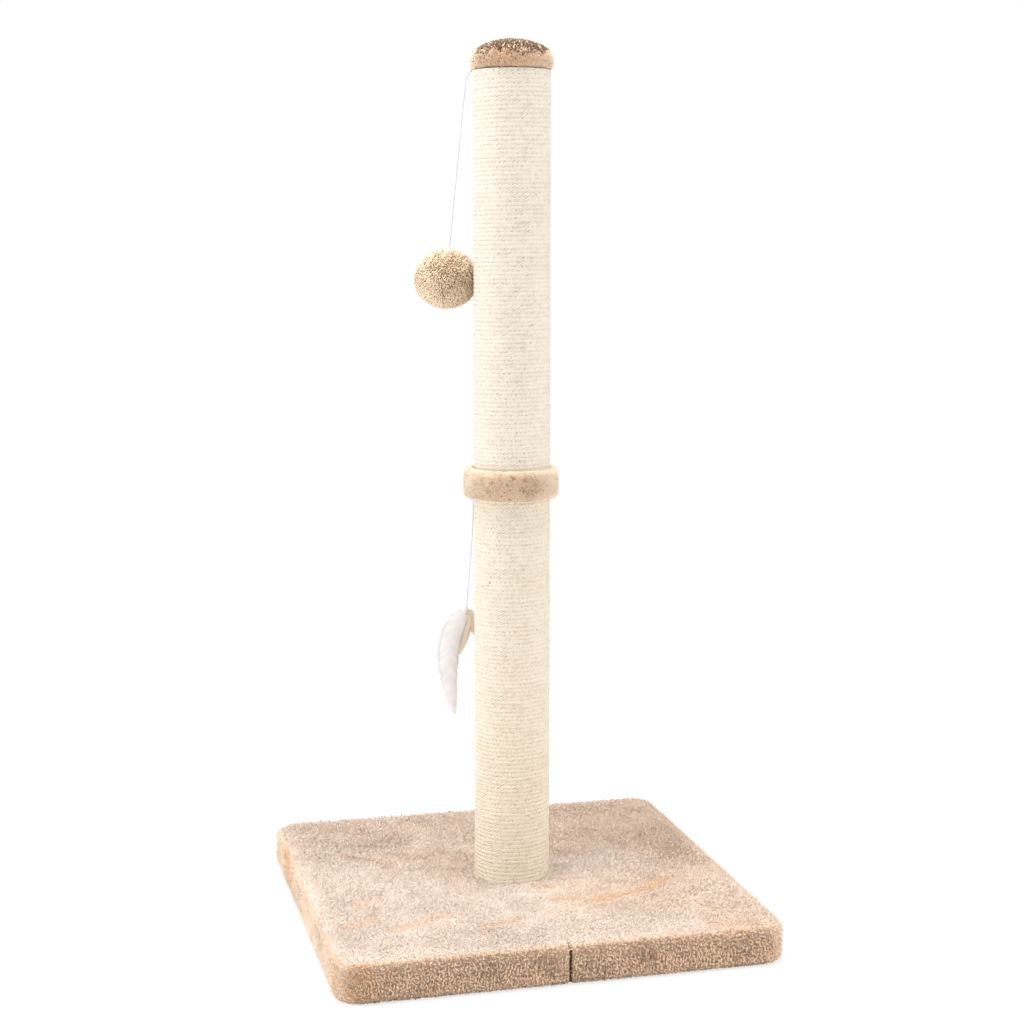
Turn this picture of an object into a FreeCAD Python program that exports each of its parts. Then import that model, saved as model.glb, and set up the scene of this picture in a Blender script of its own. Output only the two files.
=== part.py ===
"""Cat scratching post: plush-covered base, a rope-wound post in two screwed halves,
a plush collar over their joint, a plush cap, and two toys hung on cords.

Millimetres, +Z up, X and Y along the sides of the base, origin at the middle of the
underside. The toys hang on the left of the post, towards the back.
"""
import FreeCAD
import Part

import math
import os
import re

import Sketcher
from FreeCAD import Placement, Rotation, Vector

# ---------------------------------------------------------------------------
# Driving sizes: name, value, what it is
# ---------------------------------------------------------------------------
SIZES = [
    ("base_width", 400.0, "base over the plush, along X"),
    ("base_depth", 400.0, "base over the plush, along Y"),
    ("base_corner", 23.0, "corner radius of the base, seen from above"),
    ("base_shoulder", 12.0, "rounding of the top edge of the plush"),
    ("base_heel", 5.0, "rounding of the bottom edge of the plush"),
    ("board_thickness", 28.0, "particle board in the base"),
    ("top_pile", 6.0, "plush over the top of the board"),
    ("side_pile", 6.0, "plush over the edges of the board"),
    ("wrap_pile", 2.0, "plush folded under the board, pile crushed"),
    ("wrap_border", 46.0, "width of the plush folded under the board"),
    ("seat_pile", 1.5, "plush crushed under the foot of the post"),
    ("seat_gap", 0.5, "room between the plush and the rope at the foot"),
    ("seam_offset", -2.7, "seam in the front edge, from the middle"),
    ("seam_width", 1.2, "width of that seam"),
    ("seam_sink", 1.6, "depth of that seam"),
    ("lining_thickness", 0.8, "cloth lining under the board"),
    ("lining_gap", 1.0, "gap round the lining"),
    ("lining_hole", 19.0, "radius of the hole in the lining at the bolt"),
    ("tube_length", 372.0, "each cardboard tube"),
    ("tube_radius", 31.1, "outside of the cardboard tube"),
    ("tube_wall", 4.5, "wall of the cardboard tube"),
    ("glue_gap", 0.1, "clearance round a glued piece"),
    ("rope_diameter", 3.8, "rope wound on the tubes"),
    ("turn_gap", 0.45, "gap between two turns that are drawn one by one"),
    ("turn_count", 10, "turns drawn one by one on each half"),
    ("plug_length", 22.0, "wooden plug in each tube end"),
    ("thread_radius", 4.0, "bolt and stud"),
    ("bolt_clearance", 0.3, "clearance round the bolt and the stud"),
    ("bolt_length", 50.0, "bolt under its head"),
    ("bolt_head_radius", 8.5, "head of the bolt"),
    ("bolt_head_height", 5.0, "head of the bolt"),
    ("bolt_head_round", 2.5, "bevel of the bolt's head"),
    ("thread_tip", 1.0, "chamfer at the ends of the bolt and the stud"),
    ("hex_key", 5.0, "key size of the socket in the bolt's head"),
    ("hex_sink", 3.2, "depth of that socket"),
    ("washer_radius", 13.0, "washer under the bolt's head"),
    ("washer_thickness", 1.6, "washer under the bolt's head"),
    ("recess_radius", 15.0, "recess for the bolt's head in the board"),
    ("recess_sink", 9.0, "depth of that recess"),
    ("nut_flange_radius", 11.0, "flange of a tee nut"),
    ("nut_flange", 1.5, "thickness of that flange"),
    ("nut_barrel_radius", 5.2, "barrel of a tee nut"),
    ("nut_barrel", 9.0, "length of that barrel"),
    ("stud_length", 48.0, "stud that joins the halves"),
    ("brad_width", 1.2, "square brads through the tubes into the plugs"),
    ("brad_length", 14.0, "brads through the tubes into the plugs"),
    ("cap_radius", 38.0, "cap over its plush"),
    ("cap_rim_radius", 36.4, "cap at its lower edge"),
    ("cap_belly", 8.5, "widest level of the cap above its lower edge"),
    ("cap_flank", 17.0, "rounding of the side of the cap below its widest level"),
    ("cap_shoulder", 14.4, "rounding between the side and the crown of the cap"),
    ("cap_shoulder_turn", 70.0, "angle at which that rounding meets the crown"),
    ("cap_height", 28.2, "cap over its plush"),
    ("cap_lip", 1.6, "plush under the board of the cap"),
    ("cap_lip_hole", 12.0, "opening where that plush is gathered"),
    ("cap_board_radius", 32.5, "board in the cap"),
    ("cap_board_thickness", 11.0, "board in the cap"),
    ("cap_skin", 5.0, "plush over the crown of the cap"),
    ("cap_screw_radius", 3.0, "double-ended screw in the cap"),
    ("cap_screw_in_plug", 20.0, "length of that screw in the plug"),
    ("cap_screw_in_board", 8.0, "length of that screw in the cap's board"),
    ("collar_height", 27.0, "collar"),
    ("collar_radius", 44.6, "collar over its plush"),
    ("collar_rise", 2.5, "middle of the collar above the joint"),
    ("collar_round", 5.8, "rounding of the edges of the collar"),
    ("collar_skin", 4.0, "plush of the collar"),
    ("collar_gap", 0.3, "clearance between the collar and the rope"),
    ("toy_azimuth", 147.2, "side where the toys hang, from +X"),
    ("cord_diameter", 1.4, "cord of both toys"),
    ("cord_gap", 0.3, "gap between a cord and the piece that turns on it"),
    ("groove_play", 0.2, "room beside a cord in its groove"),
    ("tail_grip", 7.1, "cord gripped under the cap, over the head plug"),
    ("collar_tail", 17.0, "cord gripped behind the collar"),
    ("knot_radius", 1.5, "knot where a cord comes out"),
    ("knot_reach", 2.8, "knot of the ball cord outside the cap's lower edge"),
    ("collar_cord_radius", 37.6, "feather cord from the axis of the post"),
    ("ball_radius", 28.0, "ball over its plush"),
    ("ball_core_radius", 19.0, "stuffing of the ball"),
    ("ball_clearance", 0.4, "gap between the ball and the rope"),
    ("ball_drop", 184.0, "middle of the ball below the lower edge of the cap"),
    ("binding_length", 7.0, "thread binding round the quills"),
    ("binding_radius", 2.6, "thread binding round the quills"),
    ("binding_taper", 2.8, "tapered end of that binding"),
    ("vane_thickness", 1.8, "feather vanes in the middle"),
    ("quill_radius", 0.6, "quills"),
    ("quill_spread", 1.3, "foot of each quill from the middle of the binding"),
    ("quill_grip", 1.5, "quill held in the binding"),
    ("large_turn", 18.5, "side of the large feather, from the toys' side of the post"),
    ("large_width", 19.5, "vane of the large feather"),
    ("large_bow", 27.0, "its quill bows out this far"),
    ("large_bow_drop", 31.0, "level of that bow below the binding"),
    ("large_reach", 10.5, "its tip, outward"),
    ("large_drop", 91.0, "its tip, downward"),
    ("middle_turn", -96.5, "side of the middle feather"),
    ("middle_width", 21.0, "vane of the middle feather"),
    ("middle_bow", 19.0, "its quill bows out this far"),
    ("middle_bow_drop", 4.0, "level of that bow below the binding"),
    ("middle_reach", 36.0, "its tip, outward"),
    ("middle_drop", 27.0, "its tip, downward"),
    ("downy_turn", -38.0, "side of the downy feather"),
    ("downy_width", 11.0, "vane of the downy feather"),
    ("downy_bow", 3.4, "its quill bows out this far"),
    ("downy_bow_drop", 12.0, "level of that bow below the binding"),
    ("downy_reach", 3.0, "its tip, outward"),
    ("downy_drop", 29.0, "its tip, downward"),
    ("staple_crown", 10.0, "staples under the base, along the crown"),
    ("staple_leg", 9.0, "legs of those staples"),
    ("staple_wire", 0.7, "wire of all staples"),
    ("staple_inset", 34.0, "staples from the edge of the base"),
    ("staples_per_side", 5, "staples along each side of the base"),
    ("cord_staple_crown", 3.4, "staples over the cords, inside width"),
    ("cord_staple_leg", 7.0, "legs of those staples"),
    ("cord_staple_inset", 3.0, "staple from the gripped end of the ball's cord"),
]

# Places worked out from the sizes: name, formula in words
PLACES = {
    "board_top": "wrap_pile + board_thickness",
    "base_height": "board_top + top_pile",
    "seat_level": "board_top + seat_pile",
    "joint_level": "seat_level + tube_length",
    "post_top": "joint_level + tube_length",
    "tube_bore": "tube_radius - tube_wall",
    "rope_inside": "tube_radius + glue_gap",
    "post_radius": "rope_inside + rope_diameter",
    "turn_pitch": "rope_diameter + turn_gap",
    "turns_height": "turn_count * turn_pitch + rope_diameter + 2 * turn_gap",
    "washer_level": "wrap_pile + recess_sink",
    "plug_radius": "tube_bore - glue_gap",
    "bore_radius": "thread_radius + bolt_clearance",
    "cap_board_level": "post_top + cap_lip",
    "collar_middle": "joint_level + collar_rise",
    "collar_inside": "post_radius + collar_gap",
    "cord_radius": "cord_diameter / 2",
    "tail_level": "post_top + cord_radius + glue_gap",
    "tail_end": "plug_radius - tail_grip",
    "cord_staple_place": "tail_end + cord_staple_inset",
    "collar_low": "collar_middle - collar_height / 2",
    "ball_centre_radius": "post_radius + ball_clearance + ball_radius",
    "ball_centre_level": "post_top - ball_drop",
}

# Routes of the free cords: out from the pivot and down from it, in the upright
# plane through the axis of the post. The ball's cord then runs straight to the ball.
BALL_CORD_KNEES = [(4.2, 5.6), (5.7, 14.0)]
FEATHER_CORD_KNEES = [(0.7, 24.0), (3.15, 56.0)]
FEATHER_CORD_END = (7.35, 104.0)

FEATHERS = ["large", "middle", "downy"]

# Outline of a vane: where it ends, how far its widest place lies towards the tip,
# how full its ends are, and the sections that it is lofted through.
VANE_TIP = 0.985
VANE_BELLY = 0.8
VANE_FULLNESS = 0.75
VANE_SECTIONS = 10

doc = FreeCAD.newDocument("ScratchingPost")
sheet = doc.addObject("Spreadsheet::Sheet", "Sizes")
for row, (alias, size, meaning) in enumerate(SIZES, start=1):
    sheet.set(f"A{row}", meaning)
    sheet.set(f"B{row}", str(size))
    sheet.setAlias(f"B{row}", alias)
doc.recompute()

ALIASES = {alias for alias, _, _ in SIZES}
SUB_PARTS = {}


# ---------------------------------------------------------------------------
# Helpers
# ---------------------------------------------------------------------------
def formula(words):
    """Turn a formula in plain words into one that FreeCAD can bind."""
    def expand(found):
        word = found.group(0)
        if word in PLACES:
            return "(" + formula(PLACES[word]) + ")"
        return "Sizes." + word if word in ALIASES else word
    return re.sub(r"[A-Za-z_]+", expand, str(words))


def value(words):
    """The present value of a formula in plain words."""
    return float(sheet.evalExpression(formula(words)))


def bind(thing, **formulas):
    """Bind properties to formulas; z means the height of the Placement."""
    paths = {"x": "Placement.Base.x", "y": "Placement.Base.y", "z": "Placement.Base.z"}
    for name, words in formulas.items():
        thing.setExpression(paths.get(name, name), formula(words))
    return thing


def keep(label, thing):
    """Register an object as the sub-part of this name."""
    thing.Label = label
    SUB_PARTS[label] = thing
    return thing


def cylinder(name, radius, height, z="0"):
    made = doc.addObject("Part::Cylinder", name)
    return bind(made, Radius=radius, Height=height, z=z)


def box(name, length, width, height, x="0", y="0", z="0"):
    """A box centred on x and y, standing on z."""
    made = doc.addObject("Part::Box", name)
    return bind(made, Length=length, Width=width, Height=height,
                x=f"{x} - ({length}) / 2", y=f"{y} - ({width}) / 2", z=z)


def fuse(name, *pieces):
    made = doc.addObject("Part::MultiFuse", name)
    made.Shapes = list(pieces)
    return made


def cut(name, base, *tools):
    made = doc.addObject("Part::Cut", name)
    made.Base = base
    made.Tool = tools[0] if len(tools) == 1 else fuse(name + "_tools", *tools)
    return made


def solid(name, shape, placement=None):
    made = doc.addObject("Part::Feature", name)
    made.Shape = shape
    if placement is not None:
        made.Placement = placement
    return made


def new_body(name, z=None):
    body = doc.addObject("PartDesign::Body", name)
    return bind(body, z=z) if z else body


def new_sketch(body, name, role):
    """A sketch on one of the body's own origin planes."""
    made = body.newObject("Sketcher::SketchObject", name)
    plane = next(item for item in body.Origin.OriginFeatures if item.Role == role)
    made.AttachmentSupport = [(plane, "")]
    made.MapMode = "FlatFace"
    return made


def pin_point(sketch, edge, end, across, up):
    """Hold a point of a sketch at two formulas, measured from its origin."""
    for words, kind, axis in ((across, "DistanceX", -2), (up, "DistanceY", -1)):
        if words == "0":
            sketch.addConstraint(Sketcher.Constraint("PointOnObject", edge, end, axis))
            continue
        index = sketch.addConstraint(
            Sketcher.Constraint(kind, -1, 1, edge, end, value(words)))
        sketch.setExpression(f"Constraints[{index}]", formula(words))


def arc_through(start, end, radius):
    """The shorter arc from start to end that turns left, or right if radius < 0."""
    chord = end - start
    middle = start + chord * 0.5
    rise = math.sqrt(max(radius * radius - chord.Length ** 2 / 4, 0.0))
    side = Vector(-chord.y, chord.x, 0).normalize()
    centre = middle + side * math.copysign(rise, radius)
    circle = Part.Circle(centre, Vector(0, 0, 1), abs(radius))
    first, last = (start, end) if radius > 0 else (end, start)
    return Part.ArcOfCircle(circle, circle.parameter(first), circle.parameter(last))


def outline(sketch, corners):
    """A closed outline of lines and arcs, each corner as (across, up, radius)."""
    points = [Vector(value(across), value(up), 0) for across, up, _ in corners]
    ends = []
    for index, (_, _, radius) in enumerate(corners):
        start, end = points[index], points[(index + 1) % len(points)]
        if radius is None:
            edge = sketch.addGeometry(Part.LineSegment(start, end))
            ends.append((edge, 1, 2))
            continue
        edge = sketch.addGeometry(arc_through(start, end, value(radius)))
        ends.append((edge, 1, 2) if value(radius) > 0 else (edge, 2, 1))
    for index, (across, up, radius) in enumerate(corners):
        edge, first, last = ends[index]
        following, joined, _ = ends[(index + 1) % len(ends)]
        sketch.addConstraint(Sketcher.Constraint("Coincident", edge, last, following, joined))
        pin_point(sketch, edge, first, across, up)
    for (edge, _, _), (_, _, radius) in zip(ends, corners):
        if radius is not None:
            index = sketch.addConstraint(
                Sketcher.Constraint("Radius", edge, abs(value(radius))))
            sketch.setExpression(f"Constraints[{index}]", f"abs({formula(radius)})")


def turned(name, corners, z=None):
    """A body turned about Z from an outline of (radius, level, arc radius)."""
    body = new_body(name, z)
    sketch = new_sketch(body, name + "_profile", "XZ_Plane")
    outline(sketch, corners)
    feature = body.newObject("PartDesign::Revolution", name + "_turned")
    feature.Profile = sketch
    feature.ReferenceAxis = (sketch, ["V_Axis"])
    feature.Angle = 360
    return body


def slab(name, length, width, height, corner, z=None):
    """A body padded from a centred rectangle, with rounded upright corners."""
    body = new_body(name, z)
    sketch = new_sketch(body, name + "_plan", "XY_Plane")
    left, right = f"-({length}) / 2", f"({length}) / 2"
    front, back = f"-({width}) / 2", f"({width}) / 2"
    outline(sketch, [(left, front, None), (right, front, None),
                     (right, back, None), (left, back, None)])
    pad = body.newObject("PartDesign::Pad", name + "_pad")
    pad.Profile = sketch
    bind(pad, Length=height)
    doc.recompute()
    round_edges(body, name + "_corners", corner, lambda box: box.ZLength > 0.01)
    return body


def round_edges(body, name, radius, chosen):
    """Round the edges of a body whose bounding boxes pass a test."""
    last = body.Tip
    names = [f"Edge{index}" for index, edge in enumerate(last.Shape.Edges, start=1)
             if chosen(edge.BoundBox)]
    feature = body.newObject("PartDesign::Fillet", name)
    feature.Base = (last, names)
    bind(feature, Radius=radius)
    doc.recompute()


def at_level(level):
    """A test for edges that lie flat at one level."""
    return lambda box: abs(box.ZMin - level) < 0.01 and box.ZLength < 0.01


def beside_post(radius, level, turn=0.0):
    """A point at the toys' side of the post, at a radius and a level."""
    angle = math.radians(value("toy_azimuth") + turn)
    return Vector(radius * math.cos(angle), radius * math.sin(angle), level)


def cord_edges(points, label):
    """Straight runs joined by tangent arcs, as large as their runs allow."""
    edges, start, radii = [], points[0], []
    for before, corner, after in zip(points, points[1:], points[2:]):
        come, go = (corner - before).normalize(), (after - corner).normalize()
        half = come.getAngle(go) / 2
        shorter = min(before.distanceToPoint(corner), corner.distanceToPoint(after))
        trim = 0.45 * shorter
        radii.append(trim / math.tan(half))
        first, last = corner - come * trim, corner + go * trim
        inward = (go - come).normalize()
        crown = corner + inward * (radii[-1] / math.cos(half) - radii[-1])
        edges.append(Part.LineSegment(start, first).toShape())
        edges.append(Part.Arc(first, crown, last).toShape())
        start = last
    edges.append(Part.LineSegment(start, points[-1]).toShape())
    print(label, "radii mm:", [round(radius, 1) for radius in radii])
    return edges


def tube_along(edges, ring, label):
    """A tube of one section along a wire of lines and arcs, with its volume compared."""
    path = Part.Wire(edges)
    shell = Part.BRepOffsetAPI.MakePipeShell(path)
    shell.add(ring, False, False)
    shell.build()
    shell.makeSolid()
    made = shell.shape()
    ratio = made.Volume / (Part.Face(ring).Area * path.Length)
    print(label, "length mm:", round(path.Length, 1), "volume ratio:", round(ratio, 4))
    return made


def six_sided_ring(edge, outward, radius):
    """The hexagon within a round section, square to the start of an edge."""
    start = edge.valueAt(edge.FirstParameter)
    along = edge.tangentAt(edge.FirstParameter)
    upward = along.cross(outward).normalize()
    sideways = upward.cross(along)
    angles = [math.pi / 6 + step * math.pi / 3 for step in range(7)]
    return Part.makePolygon([start + sideways * radius * math.cos(angle)
                             + upward * radius * math.sin(angle) for angle in angles])


# ---------------------------------------------------------------------------
# Base
# ---------------------------------------------------------------------------
def make_board_blank(name):
    """The base board before its hole is bored."""
    return slab(name, "base_width - 2 * side_pile", "base_depth - 2 * side_pile",
                "board_thickness", "base_corner - side_pile", z="wrap_pile")


def make_base():
    blank = make_board_blank("board_blank")
    bore = cylinder("board_bore", "bore_radius", "board_thickness", "wrap_pile")
    recess = cylinder("board_recess", "recess_radius", "recess_sink", "wrap_pile")
    keep("base_board", cut("board_bored", blank, bore, recess))

    cover = slab("cover_blank", "base_width", "base_depth", "base_height", "base_corner")
    round_edges(cover, "cover_shoulder", "base_shoulder", at_level(value("base_height")))
    round_edges(cover, "cover_heel", "base_heel", at_level(0.0))
    window = box("cover_window", "base_width - 2 * wrap_border",
                 "base_depth - 2 * wrap_border", "wrap_pile")
    seat = cylinder("cover_seat", "post_radius + seat_gap", "top_pile", "seat_level")
    hole = cylinder("cover_hole", "bore_radius", "top_pile", "board_top")
    seam = box("cover_seam", "seam_width", "2 * seam_sink", "base_height - base_shoulder / 2",
               x="seam_offset", y="-base_depth / 2")
    keep("base_plush_cover", cut("cover_hollowed", cover, make_board_blank("board_room"),
                                 window, seat, hole, seam))

    sheet_blank = slab("lining_blank", "base_width - 2 * wrap_border - 2 * lining_gap",
                       "base_depth - 2 * wrap_border - 2 * lining_gap",
                       "lining_thickness", "side_pile", z="wrap_pile - lining_thickness")
    opening = cylinder("lining_opening", "lining_hole", "wrap_pile")
    keep("base_lining", cut("lining_holed", sheet_blank, opening))
    keep("base_staples", solid("cover_staples", make_cover_staples()))


def staple_shape(crown, leg, wire):
    """A staple at the origin: crown along X, legs up."""
    bar = Part.makeBox(crown, wire, wire, Vector(-crown / 2, -wire / 2, 0))
    legs = [Part.makeBox(wire, wire, leg, Vector(side, -wire / 2, 0))
            for side in (-crown / 2, crown / 2 - wire)]
    return bar.fuse(legs).removeSplitter()


def make_cover_staples():
    """Staples through the folded plush into the board, along all four sides."""
    one = staple_shape(value("staple_crown"), value("staple_leg"), value("staple_wire"))
    level = value("wrap_pile") / 3
    made = []
    gaps = int(value("staples_per_side")) - 1
    for side in range(4):
        across, along = value("base_width") / 2, value("base_depth") / 2
        if side % 2:
            across, along = along, across
        reach = along - value("staple_inset")
        corner = across - value("base_corner") - value("wrap_border")
        for step in range(gaps + 1):
            place = (2 * step / gaps - 1) * corner
            piece = one.copy()
            piece.Placement = Placement(Vector(0, 0, 0), Rotation(Vector(0, 0, 1), 90 * side)) \
                * Placement(Vector(place, -reach, level), Rotation())
            made.append(piece)
    return Part.makeCompound(made)


def make_base_bolt():
    body = turned("bolt", [
        ("0", "0", None),
        ("bolt_head_radius - bolt_head_round", "0", None),
        ("bolt_head_radius", "bolt_head_round", None),
        ("bolt_head_radius", "bolt_head_height", None),
        ("thread_radius", "bolt_head_height", None),
        ("thread_radius", "bolt_head_height + bolt_length - thread_tip", None),
        ("thread_radius - thread_tip", "bolt_head_height + bolt_length", None),
        ("0", "bolt_head_height + bolt_length", None),
    ], z="washer_level - washer_thickness - bolt_head_height")
    sketch = new_sketch(body, "bolt_socket_plan", "XY_Plane")
    corner = "hex_key / 2 / cos(30)"
    outline(sketch, [(f"{corner} * cos({60 * step})", f"{corner} * sin({60 * step})", None)
                     if step % 3 else (f"{corner} * {1 - 2 * (step // 3)}", "0", None)
                     for step in range(6)])
    socket = body.newObject("PartDesign::Pocket", "bolt_socket")
    socket.Profile = sketch
    socket.Reversed = True
    bind(socket, Length="hex_sink")
    keep("base_bolt", body)
    ring = cylinder("washer_disc", "washer_radius", "washer_thickness",
                    "washer_level - washer_thickness")
    hole = cylinder("washer_hole", "bore_radius", "washer_thickness",
                    "washer_level - washer_thickness")
    keep("base_washer", cut("washer", ring, hole))


# ---------------------------------------------------------------------------
# Post
# ---------------------------------------------------------------------------
def make_tube(label, z):
    outer = cylinder(label + "_outer", "tube_radius", "tube_length", z)
    bore = cylinder(label + "_bore", "tube_bore", "tube_length", z)
    keep(label, cut(label + "_wall", outer, bore))


def make_plug(label, z):
    """A wooden plug, drilled right through for the barrel of its tee nut."""
    disc = cylinder(label + "_disc", "plug_radius", "plug_length", z)
    bore = cylinder(label + "_bore", "nut_barrel_radius + glue_gap", "plug_length", z)
    keep(label, cut(label + "_bored", disc, bore))


def make_tee_nut(label, z, side):
    """A tee nut whose flange lies on level z, above it for side 1, below for -1."""
    if side > 0:
        flange_level, barrel_level = z, f"{z} - nut_barrel"
    else:
        flange_level, barrel_level = f"{z} - nut_flange", z
    flange = cylinder(label + "_flange", "nut_flange_radius", "nut_flange", flange_level)
    barrel = cylinder(label + "_sleeve", "nut_barrel_radius", "nut_barrel", barrel_level)
    bore = cylinder(label + "_thread", "thread_radius + glue_gap", "nut_flange + nut_barrel",
                    flange_level if side < 0 else barrel_level)
    keep(label, cut(label + "_bored", fuse(label + "_blank", flange, barrel), bore))


def make_stud():
    half = "stud_length / 2"
    keep("joining_stud", turned("stud", [
        ("0", f"-{half}", None),
        ("thread_radius - thread_tip", f"-{half}", None),
        ("thread_radius", f"thread_tip - {half}", None),
        ("thread_radius", f"{half} - thread_tip", None),
        ("thread_radius - thread_tip", half, None),
        ("0", half, None),
    ], z="joint_level"))


def make_brads():
    """Two brads through the tube into each plug, heads set just below the tube's skin."""
    width, length = value("brad_width"), value("brad_length")
    one = Part.makeBox(length, width, width,
                       Vector(value("tube_radius - glue_gap") - length, -width / 2, -width / 2))
    half_plug = value("plug_length") / 2
    levels = [value("seat_level") + half_plug, value("joint_level") - half_plug,
              value("joint_level") + half_plug, value("post_top") - half_plug]
    made = []
    for level in levels:
        for step in range(2):
            piece = one.copy()
            piece.Placement = Placement(Vector(0, 0, level),
                                        Rotation(Vector(0, 0, 1), 180 * step))
            made.append(piece)
    keep("plug_brads", solid("brads", Part.makeCompound(made)))


def arc_edge(start, heading, end):
    """The arc that leaves start along heading and ends at end."""
    chord = end - start
    along = Vector(chord).normalize()
    side = (heading - along * heading.dot(along)).normalize()
    sagitta = chord.Length / 2 * math.tan(heading.getAngle(chord) / 2)
    return Part.Arc(start, start + chord * 0.5 + side * sagitta, end).toShape()


def biarc(start, heading, end, arrival):
    """Two arcs that join smoothly between two points with given headings."""
    chord, both = end - start, heading + arrival
    spread = 2 * (1 - heading.dot(arrival))
    reach = (-chord.dot(both) + math.sqrt(chord.dot(both) ** 2 + spread * chord.dot(chord))) / spread
    middle = (start + end + (heading - arrival) * reach) * 0.5
    passing = (end - start - (heading + arrival) * reach).normalize()
    return [arc_edge(start, heading, middle), arc_edge(middle, passing, end)]


def turns_shape(low, label):
    """The rope's turns round the tube, one unbroken run with straight ends."""
    wire, count = value("rope_diameter") / 2, int(value("turn_count"))
    radius, pitch = value("rope_inside") + wire, value("turn_pitch")

    def spot(angle):
        return Vector(radius * math.cos(angle), radius * math.sin(angle),
                      low + pitch * angle / (2 * math.pi))

    def course(angle):
        return Vector(-radius * math.sin(angle), radius * math.cos(angle),
                      pitch / (2 * math.pi)).normalize()

    quarter = math.pi / 2
    steps = 4 * count
    edges = [Part.LineSegment(spot(0) - course(0) * 2 * wire, spot(0)).toShape()]
    for step in range(steps):
        start, end = step * quarter, (step + 1) * quarter
        edges += biarc(spot(start), course(start), spot(end), course(end))
    last = steps * quarter
    edges.append(Part.LineSegment(spot(last), spot(last) + course(last) * 2 * wire).toShape())

    samples = [edge.valueAt(edge.FirstParameter + share * (edge.LastParameter - edge.FirstParameter))
               for edge in edges[1:-1] for share in (0.0, 0.25, 0.5, 0.75)]
    in_turn = len(samples) // count
    gap = min(samples[index].distanceToPoint(samples[index + step]) - 2 * wire
              for index in range(len(samples) - in_turn - 3)
              for step in range(in_turn - 3, in_turn + 4))
    print(label, "least gap to itself mm:", round(gap, 3))
    return tube_along(edges, six_sided_ring(edges[0], Vector(1, 0, 0), wire), label)


def make_winding(half, z, at_top):
    """One rope: a sleeve where its turns lie close, and turns drawn one by one."""
    length = "tube_length - turns_height"
    sleeve_level = z if at_top else f"{z} + turns_height"
    outer = cylinder(half + "_sleeve", "post_radius", length, sleeve_level)
    bore = cylinder(half + "_sleeve_bore", "rope_inside", length, sleeve_level)
    keep(half + "_rope_winding", cut(half + "_winding", outer, bore))
    low = value(f"{z} + tube_length - turns_height" if at_top else z) \
        + value("turn_gap + rope_diameter / 2")
    keep(half + "_rope_turns",
         solid(half + "_turns", turns_shape(low, half + "_rope_turns")))


def make_post():
    make_plug("lower_foot_plug", "seat_level")
    make_tee_nut("lower_foot_tee_nut", "seat_level + plug_length", 1)
    make_tube("lower_post_tube", "seat_level")
    make_winding("lower", "seat_level", at_top=False)
    make_plug("lower_head_plug", "joint_level - plug_length")
    make_tee_nut("lower_head_tee_nut", "joint_level - plug_length", -1)
    make_stud()
    make_plug("upper_foot_plug", "joint_level")
    make_tee_nut("upper_foot_tee_nut", "joint_level + plug_length", 1)
    make_tube("upper_post_tube", "joint_level")
    make_winding("upper", "joint_level", at_top=True)
    head = cylinder("head_disc", "plug_radius", "plug_length", "post_top - plug_length")
    pilot = cylinder("head_pilot", "cap_screw_radius + glue_gap", "cap_screw_in_plug + glue_gap",
                     "post_top - cap_screw_in_plug - glue_gap")
    keep("upper_head_plug", cut("head_bored", head, pilot))
    make_brads()


# ---------------------------------------------------------------------------
# Cap and collar
# ---------------------------------------------------------------------------
def bar_beside_post(name, width, inner, outer, low, high):
    """A bar along the radius at the toys' side, to cut a groove or a room."""
    wide = value(width)
    bar = Part.makeBox(value(outer) - value(inner), wide, value(high) - value(low),
                       Vector(value(inner), -wide / 2, value(low)))
    return solid(name, bar, Placement(Vector(0, 0, 0),
                                      Rotation(Vector(0, 0, 1), value("toy_azimuth"))))


def cord_groove(name, inner, outer, low, high):
    """The groove that a gripped cord lies in."""
    return bar_beside_post(name, "cord_diameter + 2 * groove_play", inner, outer, low, high)


def dome_radius(reach, rise):
    """Radius of the sphere that rises this much over this radius."""
    return f"(({reach}) ^ 2 + ({rise}) ^ 2) / (2 * ({rise}))"


def staple_room(name, inner, outer, low, high):
    """The room of a staple over a gripped cord."""
    return bar_beside_post(name, "cord_staple_crown + 4 * staple_wire", inner, outer, low, high)


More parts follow.
